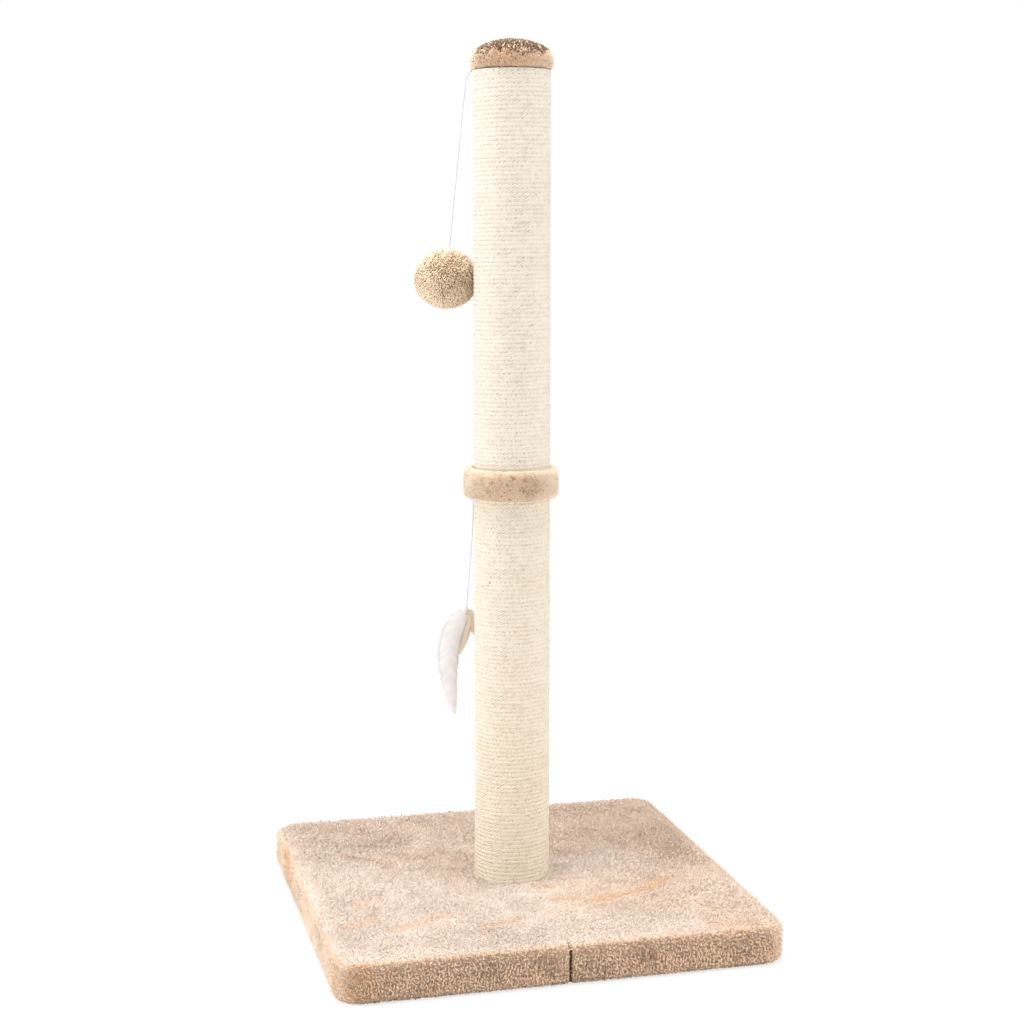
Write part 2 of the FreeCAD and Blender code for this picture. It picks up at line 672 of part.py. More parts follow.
def make_cap():
    groove = cord_groove("cap_groove", "tail_end", "cap_radius + cap_skin",
                         "post_top", "post_top + cord_diameter + groove_play + staple_wire")
    pocket = staple_room("cap_staple_room", "cord_staple_place - 1.5 * staple_wire",
                         "cord_staple_place + 1.5 * staple_wire", "post_top",
                         "tail_level + cord_radius + 1.5 * staple_wire")
    disc = cylinder("cap_disc", "cap_board_radius", "cap_board_thickness", "cap_board_level")
    pilot = cylinder("cap_pilot", "cap_screw_radius + glue_gap",
                     "cap_screw_in_board + glue_gap", "cap_board_level")
    keep("cap_board", cut("cap_board_bored", disc, pilot, groove, pocket))

    crown = "cap_height - cap_skin - cap_lip - cap_board_thickness"
    wadding = turned("wadding", [
        ("0", "0", None),
        ("cap_board_radius", "0", dome_radius("cap_board_radius", crown)),
        ("0", crown, None),
    ], z="cap_board_level + cap_board_thickness")
    keep("cap_wadding", wadding)

    reach = "cap_radius - cap_shoulder + cap_shoulder * cos(cap_shoulder_turn)"
    level = "cap_belly + cap_shoulder * sin(cap_shoulder_turn)"
    outer = turned("cap_outer", [
        ("0", "0", None),
        ("cap_rim_radius", "0", "cap_flank"),
        ("cap_radius", "cap_belly", "cap_shoulder"),
        (reach, level, dome_radius(reach, f"cap_height - ({level})")),
        ("0", "cap_height", None),
    ], z="post_top")
    gathered = cylinder("cap_gather", "cap_lip_hole", "cap_lip", "post_top")
    board_room = cylinder("cap_board_room", "cap_board_radius", "cap_board_thickness",
                          "cap_board_level")
    keep("cap_plush_cover", cut("cap_cover", outer, gathered, board_room, wadding, groove,
                                pocket))

    screw = turned("cap_screw", [
        ("0", "-cap_screw_in_plug", None),
        ("cap_screw_radius", "-cap_screw_in_plug + 2 * cap_screw_radius", None),
        ("cap_screw_radius", "cap_lip + cap_screw_in_board - cap_screw_radius", None),
        ("0", "cap_lip + cap_screw_in_board", None),
    ], z="post_top")
    keep("cap_dowel_screw", screw)


def make_collar():
    low, high = "-collar_height / 2", "collar_height / 2"
    band = turned("collar_outer", [
        ("collar_inside", low, None),
        ("collar_radius - collar_round", low, "collar_round"),
        ("collar_radius", f"{low} + collar_round", None),
        ("collar_radius", f"{high} - collar_round", "collar_round"),
        ("collar_radius - collar_round", high, None),
        ("collar_inside", high, None),
    ], z="collar_middle")
    outside = "collar_radius - collar_skin"
    foam_low, foam_high = f"{low} + collar_skin", f"{high} - collar_skin"
    foam = turned("foam", [
        ("collar_inside", foam_low, None), (outside, foam_low, None),
        (outside, foam_high, None), ("collar_inside", foam_high, None),
    ], z="collar_middle")
    groove = cord_groove("collar_groove", "collar_inside - glue_gap",
                         "collar_cord_radius + cord_radius + groove_play",
                         "collar_low", "collar_low + collar_tail + collar_gap")
    pocket = staple_room("collar_staple_room", "collar_inside - glue_gap",
                         "collar_cord_radius + cord_radius + 1.5 * staple_wire",
                         "collar_middle - 1.5 * staple_wire", "collar_middle + 1.5 * staple_wire")
    keep("collar_foam", cut("collar_foam_cut", foam, groove, pocket))
    keep("collar_plush_cover", cut("collar_cover_cut", band, foam, groove, pocket))


# ---------------------------------------------------------------------------
# Toys
# ---------------------------------------------------------------------------
def ball_pivot():
    return value("cap_rim_radius + knot_reach"), value("tail_level")


def feather_pivot():
    return value("collar_cord_radius"), value("collar_low - knot_radius - 2 * cord_gap")


def make_knot(label, pivot):
    """An overhand knot as a small barrel round its pivot."""
    half_height, half_width = "knot_radius * sin(30)", "knot_radius * cos(30)"
    knot = turned(label + "_barrel", [
        ("0", "-knot_radius", None), (half_width, f"-{half_height}", None),
        (half_width, half_height, None), ("0", "knot_radius", None),
    ])
    knot.Placement = Placement(beside_post(*pivot), Rotation())
    keep(label, knot)


def lean_placement(foot, heading, turn=0.0):
    """Stand a shape on foot, its Z against heading, its X out from the post."""
    upright = Rotation(Vector(0, 0, 1), value("toy_azimuth") + turn)
    return Placement(foot, Rotation(Vector(0, 0, -1), heading).multiply(upright))


def cord_route(pivot, knees, end):
    """Points of a free cord, from just outside its knot to its end."""
    points = [beside_post(pivot[0] + out, pivot[1] - down) for out, down in knees]
    start = beside_post(*pivot)
    leaving = (points[0] - start).normalize()
    return [start + leaving * value("knot_radius + cord_gap")] + points + [end]


def make_cord(label, points):
    edges = cord_edges(points, label)
    tube = tube_along(edges, six_sided_ring(edges[0], beside_post(1.0, 0.0),
                                            value("cord_radius")), label)
    keep(label, solid(label + "_tube", tube))


def make_ball_toy():
    pivot = ball_pivot()
    make_knot("ball_cord_knot", pivot)
    centre = beside_post(value("ball_centre_radius"), value("ball_centre_level"))
    out, down = BALL_CORD_KNEES[-1]
    heading = (centre - beside_post(pivot[0] + out, pivot[1] - down)).normalize()
    depth = value("ball_core_radius + cord_gap")
    make_cord("ball_cord", cord_route(pivot, BALL_CORD_KNEES, centre - heading * depth))

    place = lean_placement(centre, heading)
    core = doc.addObject("Part::Sphere", "ball_stuffing")
    bind(core, Radius="ball_core_radius")
    core.Placement = place
    keep("ball_core", core)
    outer = doc.addObject("Part::Sphere", "ball_outer")
    bind(outer, Radius="ball_radius")
    outer.Placement = place
    channel = doc.addObject("Part::Cylinder", "ball_channel")
    bind(channel, Radius="cord_radius + groove_play + cord_gap", Height="2 * ball_radius")
    channel.Placement = place
    keep("ball_plush_cover", cut("ball_cover", outer, core, channel))

    tail = Part.makeCylinder(value("cord_radius"),
                             value("cap_rim_radius + knot_reach - knot_radius - cord_gap - tail_end"))
    out_turn = Rotation(Vector(0, 0, 1), beside_post(1.0, 0.0))
    start = beside_post(value("tail_end"), value("tail_level"))
    keep("ball_cord_tail", solid("ball_tail", tail, Placement(start, out_turn)))


def vane_swell(share):
    """Width of a feather along its quill, from 0 at the foot to 1 where it is widest."""
    return math.sin(math.pi * min(share, VANE_TIP) ** VANE_BELLY) ** VANE_FULLNESS


def vane_shape(kind):
    """A feather along its quill: lens sections, narrow at both ends."""
    poles = [("quill_spread", "-quill_grip"), (f"{kind}_bow", f"{kind}_bow_drop"),
             (f"{kind}_reach", f"{kind}_drop")]
    curve = Part.BezierCurve()
    curve.setPoles([Vector(value(out), 0, -value(down)) for out, down in poles])
    width, thick, quill = value(f"{kind}_width"), value("vane_thickness"), value("quill_radius")
    sections = []
    for step in range(VANE_SECTIONS + 1):
        share = step / VANE_SECTIONS
        spot = curve.value(share)
        along = curve.tangent(share)[0]
        across = along.cross(Vector(0, 1, 0)).normalize()
        swell = vane_swell(share)
        half = max(width / 2 * swell, quill)
        rise = Vector(0, max(thick / 2 * swell, quill), 0)
        left, right = spot - across * half, spot + across * half
        sections.append(Part.Wire([Part.Arc(left, spot + rise, right).toShape(),
                                   Part.Arc(right, spot - rise, left).toShape()]))
    return Part.makeLoft(sections, True, True)


def make_feather_toy():
    pivot = feather_pivot()
    make_knot("feather_cord_knot", pivot)
    end = beside_post(pivot[0] + FEATHER_CORD_END[0], pivot[1] - FEATHER_CORD_END[1])
    points = cord_route(pivot, FEATHER_CORD_KNEES, end)
    heading = (points[-1] - points[-2]).normalize()
    make_cord("feather_cord", points)

    foot = end + heading * value("cord_gap + binding_length")
    binding = turned("binding", [
        ("0", "0", None),
        ("binding_radius", "0", None),
        ("binding_radius", "binding_length - binding_taper", None),
        ("cord_radius", "binding_length", None),
        ("0", "binding_length", None),
    ])
    binding.Placement = lean_placement(foot, heading)
    keep("feather_binding", binding)
    for kind in FEATHERS:
        keep("feather_" + kind, solid(kind + "_vane", vane_shape(kind),
                                      lean_placement(foot, heading, value(f"{kind}_turn"))))

    tail = Part.makeCylinder(value("cord_radius"), value("collar_tail + cord_gap"),
                             beside_post(value("collar_cord_radius"),
                                         value("collar_low - cord_gap")))
    keep("feather_cord_tail", solid("feather_tail", tail))


def make_cord_staples():
    """One staple over each gripped cord: into the head plug, and into the tube."""
    wire, leg = value("staple_wire"), value("cord_staple_leg")
    one = staple_shape(value("cord_staple_crown") + 2 * wire, leg, wire)
    side = Rotation(Vector(0, 0, 1), value("toy_azimuth"))
    across = side.multiply(Rotation(Vector(0, 0, 1), 90))
    down = Placement(beside_post(value("cord_staple_place"),
                                 value("tail_level + cord_radius + staple_wire")),
                     across.multiply(Rotation(Vector(1, 0, 0), 180)))
    inward = Placement(beside_post(value("collar_cord_radius + cord_radius + staple_wire"),
                                   value("collar_middle")),
                       across.multiply(Rotation(Vector(1, 0, 0), -90)))
    made = []
    for place in (down, inward):
        piece = one.copy()
        piece.Placement = place
        made.append(piece)
    keep("cord_staples", solid("staples_over_cords", Part.makeCompound(made)))


# ---------------------------------------------------------------------------
# Build, check and write
# ---------------------------------------------------------------------------
def check_document():
    for thing in doc.Objects:
        if "Invalid" in thing.State or "Error" in thing.State:
            raise RuntimeError(f"{thing.Name} is in state {thing.State}")
    for label, thing in SUB_PARTS.items():
        if thing.Shape.isNull() or not thing.Shape.isValid() or not thing.Shape.Solids:
            raise RuntimeError(f"{label} has no valid solid")


make_base()
make_base_bolt()
make_post()
make_cap()
make_collar()
make_ball_toy()
make_feather_toy()
make_cord_staples()
doc.recompute()
check_document()

os.makedirs("parts", exist_ok=True)
for label, thing in SUB_PARTS.items():
    thing.Shape.exportStep(f"parts/{label}.step")
    print(label, len(thing.Shape.Solids), "solid(s)", round(thing.Shape.Volume, 1), "mm3")
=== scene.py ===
"""Cat scratching post: the looks of the plush base, the rope-wound post, its collar and cap, and the
two toys that hang on cords.

Sizes in the classes are millimetres in the frame's own axes: +Z up, origin in the middle of the
underside of the base. Surface.piece turns them into metres.
"""
import logging
import math
from collections.abc import Callable, Iterable, Sequence
from dataclasses import dataclass, field, replace
from enum import Enum
from functools import cache
from typing import ClassVar

import bpy
import numpy as np
from mathutils import Matrix, Vector


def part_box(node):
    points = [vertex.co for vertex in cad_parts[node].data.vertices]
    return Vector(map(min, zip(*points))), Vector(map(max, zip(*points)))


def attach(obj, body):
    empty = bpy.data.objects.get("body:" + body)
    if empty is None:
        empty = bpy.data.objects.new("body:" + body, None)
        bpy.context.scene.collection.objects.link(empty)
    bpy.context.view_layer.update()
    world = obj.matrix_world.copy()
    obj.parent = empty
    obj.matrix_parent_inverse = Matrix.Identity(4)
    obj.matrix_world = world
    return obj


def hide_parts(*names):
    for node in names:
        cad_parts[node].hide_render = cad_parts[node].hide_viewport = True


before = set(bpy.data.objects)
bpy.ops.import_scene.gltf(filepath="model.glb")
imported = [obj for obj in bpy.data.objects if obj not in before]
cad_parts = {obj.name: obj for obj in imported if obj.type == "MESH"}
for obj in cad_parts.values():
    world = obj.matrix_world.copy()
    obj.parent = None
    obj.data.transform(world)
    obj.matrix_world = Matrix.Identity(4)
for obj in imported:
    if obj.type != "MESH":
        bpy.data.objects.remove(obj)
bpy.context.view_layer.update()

log = logging.getLogger("scratching_post")

MM = 0.001
POST_RADIUS = 35.0
TOY_AZIMUTH = math.radians(147.2)
OUTWARD = np.array([math.cos(TOY_AZIMUTH), math.sin(TOY_AZIMUTH), 0.0])
UP = np.array([0.0, 0.0, 1.0])


# ---------------------------------------------------------------------------
# Numbers
# ---------------------------------------------------------------------------
def paint(red: float, green: float, blue: float) -> tuple[float, float, float, float]:
    """A colour as a picture shows it, 0 to 255, as the linear colour of a shader.

    Args:
        red, green, blue: the three parts, 0 to 255.

    Returns:
        Linear red, green, blue and 1.
    """
    parts = [part / 255.0 for part in (red, green, blue)]
    linear = [p / 12.92 if p <= 0.04045 else ((p + 0.055) / 1.055) ** 2.4 for p in parts]
    return linear[0], linear[1], linear[2], 1.0


def unit(vectors: np.ndarray) -> np.ndarray:
    """The vectors at length 1."""
    return vectors / np.maximum(np.linalg.norm(vectors, axis=-1, keepdims=True), 1e-9)


def ease(values: np.ndarray | float, low: float, high: float) -> np.ndarray:
    """A smooth step.

    Args:
        values: what is stepped.
        low: where the step begins.
        high: where it ends.

    Returns:
        0 below low, 1 above high, and a smooth rise between.
    """
    share = np.clip((np.asarray(values, float) - low) / (high - low), 0.0, 1.0)
    return share * share * (3.0 - 2.0 * share)


def waver(points: np.ndarray, cell: float, seed: int) -> np.ndarray:
    """Smooth seeded noise.

    Args:
        points: places, one per row.
        cell: size of one swell of the noise.
        seed: which noise.

    Returns:
        One value from -1 to 1 per point.
    """
    spots = points / cell
    base = np.floor(spots).astype(np.int64)
    part = spots - base
    part = part * part * (3.0 - 2.0 * part)
    total = np.zeros(len(points))
    for corner in np.ndindex(2, 2, 2):
        lattice = base + np.array(corner)
        mixed = (lattice[:, 0] * 73856093) ^ (lattice[:, 1] * 19349663) ^ (lattice[:, 2] * 83492791)
        mixed = (mixed ^ (seed * 2654435761)) & 0xFFFFFFFF
        mixed = ((mixed ^ (mixed >> 13)) * 1274126177) & 0xFFFFFFFF
        value = ((mixed ^ (mixed >> 16)) & 0xFFFF) / 32767.5 - 1.0
        total += value * np.prod(np.where(corner, part, 1.0 - part), axis=1)
    return total


def flowing_line(poles: Sequence[tuple[float, float]], steps: int) -> np.ndarray:
    """A smooth line through a few poles.

    Args:
        poles: the points that the line goes through.
        steps: points from one pole to the next.

    Returns:
        The points of the line.
    """
    spots = np.array(poles, float)
    ends = np.vstack([2 * spots[0] - spots[1], spots, 2 * spots[-1] - spots[-2]])
    share = np.arange(steps)[:, None] / steps
    spans = []
    for a, b, c, d in zip(ends, ends[1:], ends[2:], ends[3:]):
        spans.append(0.5 * (2 * b + (c - a) * share + (2 * a - 5 * b + 4 * c - d) * share ** 2
                            + (3 * b - a - 3 * c + d) * share ** 3))
    return np.vstack(spans + [spots[-1:]])


# ---------------------------------------------------------------------------
# Meshes
# ---------------------------------------------------------------------------
@dataclass
class Surface:
    """A mesh that is being made.

    Args:
        points: the points, in millimetres.
        quads: faces of four corners.
        triangles: faces of three corners.
        marks: a value per point for the shader, by name.
        chart: a flat place for each corner of the quads and then of the triangles, or None.
        normals: the shading direction at each point, zero where the faces give it, or None.
    """

    points: np.ndarray
    quads: np.ndarray = field(default_factory=lambda: np.zeros((0, 4), np.int64))
    triangles: np.ndarray = field(default_factory=lambda: np.zeros((0, 3), np.int64))
    marks: dict[str, np.ndarray] = field(default_factory=dict)
    chart: np.ndarray | None = None
    normals: np.ndarray | None = None

    @staticmethod
    def joined(parts: "Iterable[Surface]") -> "Surface":
        """Several surfaces as one, with the marks of all and no chart."""
        parts = list(parts)
        starts = np.cumsum([0] + [len(part.points) for part in parts[:-1]])
        names = sorted({name for part in parts for name in part.marks})
        marks = {name: np.concatenate([part.marks.get(name, np.zeros(len(part.points)))
                                       for part in parts]) for name in names}
        normals = [np.zeros_like(part.points) if part.normals is None else part.normals
                   for part in parts]
        return Surface(np.vstack([part.points for part in parts]),
                       np.vstack([part.quads + at for part, at in zip(parts, starts)]),
                       np.vstack([part.triangles + at for part, at in zip(parts, starts)]), marks,
                       normals=np.vstack(normals))

    def moved(self, foot: np.ndarray, axes: np.ndarray) -> "Surface":
        """The surface with its own axes laid along axes (one per row) and its origin on foot."""
        normals = None if self.normals is None else self.normals @ axes
        return replace(self, points=self.points @ axes + foot, normals=normals)

    def piece(self, name: str, finish: "Finish", body: str, slot: str,
              stands_for: Sequence[str] = ()) -> bpy.types.Object:
        """Make the Blender object.

        Args:
            name: its name.
            finish: its finish.
            body: the body that it rides on.
            slot: not used.
            stands_for: the CAD nodes that it replaces.

        Returns:
            The object, linked and placed on its body.
        """
        mesh = bpy.data.meshes.new(name)
        corners = np.concatenate([self.quads.ravel(), self.triangles.ravel()])
        starts = np.concatenate([np.arange(len(self.quads)) * 4,
                                 self.quads.size + np.arange(len(self.triangles)) * 3])
        mesh.vertices.add(len(self.points))
        mesh.vertices.foreach_set("co", (self.points * MM).astype(np.float32).ravel())
        mesh.loops.add(len(corners))
        mesh.loops.foreach_set("vertex_index", corners.astype(np.int32))
        mesh.polygons.add(len(starts))
        mesh.polygons.foreach_set("loop_start", starts.astype(np.int32))
        mesh.polygons.foreach_set("use_smooth", np.ones(len(starts), bool))
        for mark, values in self.marks.items():
            mesh.attributes.new(mark, "FLOAT", "POINT").data.foreach_set(
                "value", values.astype(np.float32))
        if self.chart is not None:
            layer = mesh.uv_layers.new(name="OFBake")
            layer.data.foreach_set("uv", self.chart.astype(np.float32).ravel())
        mesh.update(calc_edges=True)
        if self.normals is not None:
            mesh.normals_split_custom_set_from_vertices(self.normals.tolist())
        piece = bpy.data.objects.new(name, mesh)
        bpy.context.scene.collection.objects.link(piece)
        return settle(piece, finish, body, stands_for)


def settle(piece: bpy.types.Object, finish: "Finish", body: str,
           stands_for: Sequence[str] = ()) -> bpy.types.Object:
    """Give a piece its finish and its place among the bodies.

    Args:
        piece: the object.
        finish: its finish.
        body: the body that it rides on.
        stands_for: the CAD nodes that it replaces.

    Returns:
        The same object.
    """
    piece.data.materials.append(finish.material())
    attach(piece, body)
    if stands_for:
        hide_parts(*stands_for)
    faces = len(piece.data.polygons) if piece.type == "MESH" else 0
    log.info("%s rides on %s (%d faces)", piece.name, body, faces)
    return piece


def ring_faces(rings: int, columns: int, closed: bool = False) -> np.ndarray:
    """Quads between rings of points.

    Args:
        rings: how many rings.
        columns: points in each, all the way round.
        closed: whether the last ring joins the first.

    Returns:
        One row of four point numbers per quad.
    """
    row, column = np.meshgrid(np.arange(rings if closed else rings - 1), np.arange(columns),
                              indexing="ij")
    above, beside = (row + 1) % rings, (column + 1) % columns
    table = np.stack([row * columns + column, row * columns + beside,
                      above * columns + beside, above * columns + column], axis=-1)
    return table.reshape(-1, 4)


def fans(low: int, high: int, last: int, columns: int) -> np.ndarray:
    """Triangles that close the two open ends of a stack of rings.

    Args:
        low: number of the point in the middle of the first ring.
        high: number of the point in the middle of the last ring.
        last: number of the last ring's first point.
        columns: points in each ring.

    Returns:
        One row of three point numbers per triangle.
    """
    side = np.arange(columns)
    beside = (side + 1) % columns
    return np.vstack([np.stack([np.full(columns, low), beside, side], axis=1),
                      np.stack([np.full(columns, high), last + side, last + beside], axis=1)])


def tube(line: np.ndarray, girths: np.ndarray, sides: int = 8) -> Surface:
    """A round tube along a line, with flat ends.

    Args:
        line: the points of its middle.
        girths: its radius at each point.
        sides: points round it.

    Returns:
        The closed tube.
    """
    heading = unit(np.gradient(line, axis=0))
    start = np.cross(heading[0], UP if abs(heading[0][2]) < 0.9 else np.array([1.0, 0.0, 0.0]))
    across = [unit(start)]
    for ahead in heading[1:]:
        across.append(unit(across[-1] - ahead * (across[-1] @ ahead)))
    across = np.array(across)
    rise = np.cross(heading, across)
    angle = np.arange(sides) * 2 * np.pi / sides
    rings = (line[:, None] + girths[:, None, None]
             * (np.cos(angle)[None, :, None] * across[:, None]
                + np.sin(angle)[None, :, None] * rise[:, None]))
    points = np.vstack([rings.reshape(-1, 3), line[:1], line[-1:]])
    ends = fans(len(points) - 2, len(points) - 1, (len(line) - 1) * sides, sides)
    return Surface(points, ring_faces(len(line), sides), ends)


def scatter(ground: Surface, spacing: float, seed: int) -> tuple[np.ndarray, np.ndarray]:
    """Even random places on a surface of quads.

    Args:
        ground: the surface.
        spacing: distance from one place to the next.
        seed: which scatter.

    Returns:
        The places, and the surface's outward directions there.
    """
    draw = np.random.default_rng(seed)
    quads = ground.points[ground.quads]
    halves = np.concatenate([quads[:, [0, 1, 2]], quads[:, [0, 2, 3]]], axis=1).reshape(-1, 3, 3)
    normals = np.cross(halves[:, 1] - halves[:, 0], halves[:, 2] - halves[:, 0])
    areas = np.cumsum(np.linalg.norm(normals, axis=1) / 2)
    count = int(areas[-1] / spacing ** 2)
    chosen = np.searchsorted(areas, (np.arange(count) + draw.random(count)) / count * areas[-1])
    chosen = np.minimum(chosen, len(halves) - 1)
    u, v = draw.random((2, count, 1))
    u, v = np.where(u + v > 1, 1 - u, u), np.where(u + v > 1, 1 - v, v)
    a, b, c = halves[chosen, 0], halves[chosen, 1], halves[chosen, 2]
    return a + u * (b - a) + v * (c - a), unit(normals[chosen])


class Strand(Enum):
    """How one tuft is drawn: its rings, each a share of its length and of its girth."""

    BUD = ((0.72, 1.0),)
    LOCK = ((0.35, 0.9), (0.8, 0.85))
    HAIR = ((0.45, 1.0),)


@dataclass
class Pile:
    """Tufts that stand on a ground, all of one kind.

    Args:
        roots: where each tuft leaves the ground.
        stems: the direction of each at its root.
        bends: how far each tip leans from that direction, for a tuft of length 1.
        lengths: length of each.
        girths: half-width of each.
        tones: lightness of each, -1 to 1.
        facings: the way that the pile faces there, which is how soft pile takes the light.
        streaks: how much each is stained by a brush stroke, 0 to 1, or None.
        strand: how one is drawn.
        roundness: how far each is shaded as round by itself, over the way that the pile faces.
        seed: which random turn each gets about its own stem.
    """

    roots: np.ndarray
    stems: np.ndarray
    bends: np.ndarray
    lengths: np.ndarray
    girths: np.ndarray
    tones: np.ndarray
    facings: np.ndarray
    streaks: np.ndarray | None = None
    strand: Strand = Strand.BUD
    seed: int = 1
    roundness: float = 0.35

    SIDES = 3

    def chosen(self, mask: np.ndarray) -> "Pile":
        """The tufts that mask picks."""
        columns = {name: value[mask] for name, value in vars(self).items()
                   if isinstance(value, np.ndarray)}
        return replace(self, **columns)

    def surface(self) -> Surface:
        """All tufts as one surface.

        Returns:
            Spindles with the marks "along", 0 at the root and 1 at the tip, and "tone".
        """
        count, sides = len(self.roots), self.SIDES
        rings = self.strand.value
        stems = unit(self.stems)
        helper = np.where(np.abs(stems[:, 2:]) < 0.9, UP, np.array([1.0, 0.0, 0.0]))
        across = unit(np.cross(stems, helper))
        rise = np.cross(stems, across)
        spin = np.random.default_rng(self.seed).random(count) * 2 * np.pi

        def spot(share: float) -> np.ndarray:
            """The middle of each tuft at a share of its length."""
            return self.roots + self.lengths[:, None] * (stems * share + self.bends * share ** 2)

        facings = unit(self.facings)
        layers, along, normals = [spot(0.0)[:, None]], [0.0], [facings[:, None]]
        for share, swell in rings:
            angle = spin[:, None] + np.arange(sides) * 2 * np.pi / sides
            ring = (np.cos(angle)[..., None] * across[:, None]
                    + np.sin(angle)[..., None] * rise[:, None])
            layers.append(spot(share)[:, None] + ring * (self.girths * swell)[:, None, None])
            along += [share] * sides
            normals.append(unit(facings[:, None] + self.roundness * ring))
        layers.append(spot(1.0)[:, None])
        normals.append(unit(facings + 0.3 * stems)[:, None])
        along.append(1.0)
        points = np.concatenate(layers, axis=1)
        per_tuft = points.shape[1]

        triangles, triangle_chart, quads, quad_chart = [], [], [], []
        tip = per_tuft - 1
        for side in range(sides):
            left, right, middle = side / sides, (side + 0.9) / sides, (side + 0.45) / sides
            beside = (side + 1) % sides
            low, high = 1, 1 + sides * (len(rings) - 1)
            triangles += [(0, low + beside, low + side), (high + side, high + beside, tip)]
            first, last = rings[0][0] * 0.9, rings[-1][0] * 0.9
            triangle_chart += [((middle, 0.0), (right, first), (left, first)),
                               ((left, last), (right, last), (middle, 0.9))]
            for ring in range(len(rings) - 1):
                at, above = 1 + sides * ring, 1 + sides * (ring + 1)
                here, there = rings[ring][0] * 0.9, rings[ring + 1][0] * 0.9
                quads.append((at + side, at + beside, above + beside, above + side))
                quad_chart.append(((left, here), (right, here), (right, there), (left, there)))

        starts = np.arange(count)[:, None, None] * per_tuft
        cells = math.ceil(math.sqrt(count))
        cell = np.stack([np.arange(count) % cells, np.arange(count) // cells], axis=1)

        def spread(faces: list, chart: list, corners: int) -> tuple[np.ndarray, np.ndarray]:
            """The faces of one tuft and their chart, repeated for every tuft."""
            if not faces:
                return np.zeros((0, corners), np.int64), np.zeros((0, 2))
            table = (starts + np.array(faces)).reshape(-1, corners)
            flat = (np.array(chart)[None] + cell[:, None, None]) / cells
            return table, flat.reshape(-1, 2)

        quad_table, quad_flat = spread(quads, quad_chart, 4)
        triangle_table, triangle_flat = spread(triangles, triangle_chart, 3)
        marks = {"along": np.tile(along, count), "tone": np.repeat(self.tones, per_tuft)}
        if self.streaks is not None:
            marks["streak"] = np.repeat(self.streaks, per_tuft)
        return Surface(points.reshape(-1, 3), quad_table, triangle_table, marks,
                       np.vstack([quad_flat, triangle_flat]),
                       np.concatenate(normals, axis=1).reshape(-1, 3))


def clumps(roots: np.ndarray, facings: np.ndarray, cell: float,
           seed: int) -> tuple[np.ndarray, np.ndarray]:
    """The curled clumps into which pile gathers.

    Args:
        roots: where the tufts stand.
        facings: the way that the pile faces.
        cell: size of one clump.
        seed: which clumps.

    Returns:
        The way along the ground from each root to the middle of its clump, and the clump's own
        tone, -1 to 1.
    """
    shifted = roots + 1.1 * cell * np.stack([waver(roots, 1.6 * cell, seed + k)
                                             for k in range(3)], axis=1)
    middle = (np.floor(shifted / cell) + 0.5) * cell
    tone = waver(middle + 0.31 * cell, 0.83 * cell, seed + 3)
    inward = middle - shifted
    return inward - facings * (inward * facings).sum(1)[:, None], tone


def curled(facings: np.ndarray, azimuth: float, low: float, high: float) -> np.ndarray:
    """Where the pile is curled: on the faces that look along an azimuth, or away from it.

    Args:
        facings: the way that the pile faces.
        azimuth: the direction, in degrees.
        low: cosine at which the curls begin.
        high: cosine at which they are full.

    Returns:
        The share per place, 0 where the pile lies smooth.
    """
    level = facings[:, :2]
    reach = np.linalg.norm(level, axis=1)
    turn = math.radians(azimuth)
    ahead = np.abs(level @ np.array([math.cos(turn), math.sin(turn)])) / np.maximum(reach, 1e-6)
    return ease(ahead, low, high) * ease(reach, 0.25, 0.6)


# ---------------------------------------------------------------------------
# Finishes
# ---------------------------------------------------------------------------
Socket = bpy.types.NodeSocket
Colour = tuple[float, float, float, float]
WHITE: Colour = (1.0, 1.0, 1.0, 1.0)


class Nodes:
    """The nodes of a material or of the world."""

    def __init__(self, owner: bpy.types.Material | bpy.types.World) -> None:
        """Start with no nodes in owner."""
        owner.use_nodes = True
        self.tree = owner.node_tree
        self.tree.nodes.clear()

    def add(self, kind: str, inputs: dict[int | str, object],
            **settings: object) -> bpy.types.NodeOutputs:
        """Add a node.

        Args:
            kind: its type.
            inputs: a value or a socket for each input that is used.
            **settings: properties of the node.

        Returns:
            Its outputs.
        """
        made = self.tree.nodes.new(kind)
        for key, value in settings.items():
            setattr(made, key, value)
        for key, value in inputs.items():
            if isinstance(value, Socket):
                self.tree.links.new(value, made.inputs[key])
            else:
                made.inputs[key].default_value = value
        return made.outputs

    def math(self, operation: str, *values: object, clamp: bool = False) -> Socket:
        """One sum of numbers or sockets."""
        return self.add("ShaderNodeMath", dict(enumerate(values)), operation=operation,
                        use_clamp=clamp)[0]

    def span(self, value: Socket, low: float, high: float, to_low: float = 0.0,
             to_high: float = 1.0) -> Socket:
        """A socket's range moved to another range and kept in it."""
        return self.add("ShaderNodeMapRange", {0: value, 1: low, 2: high, 3: to_low, 4: to_high})[0]


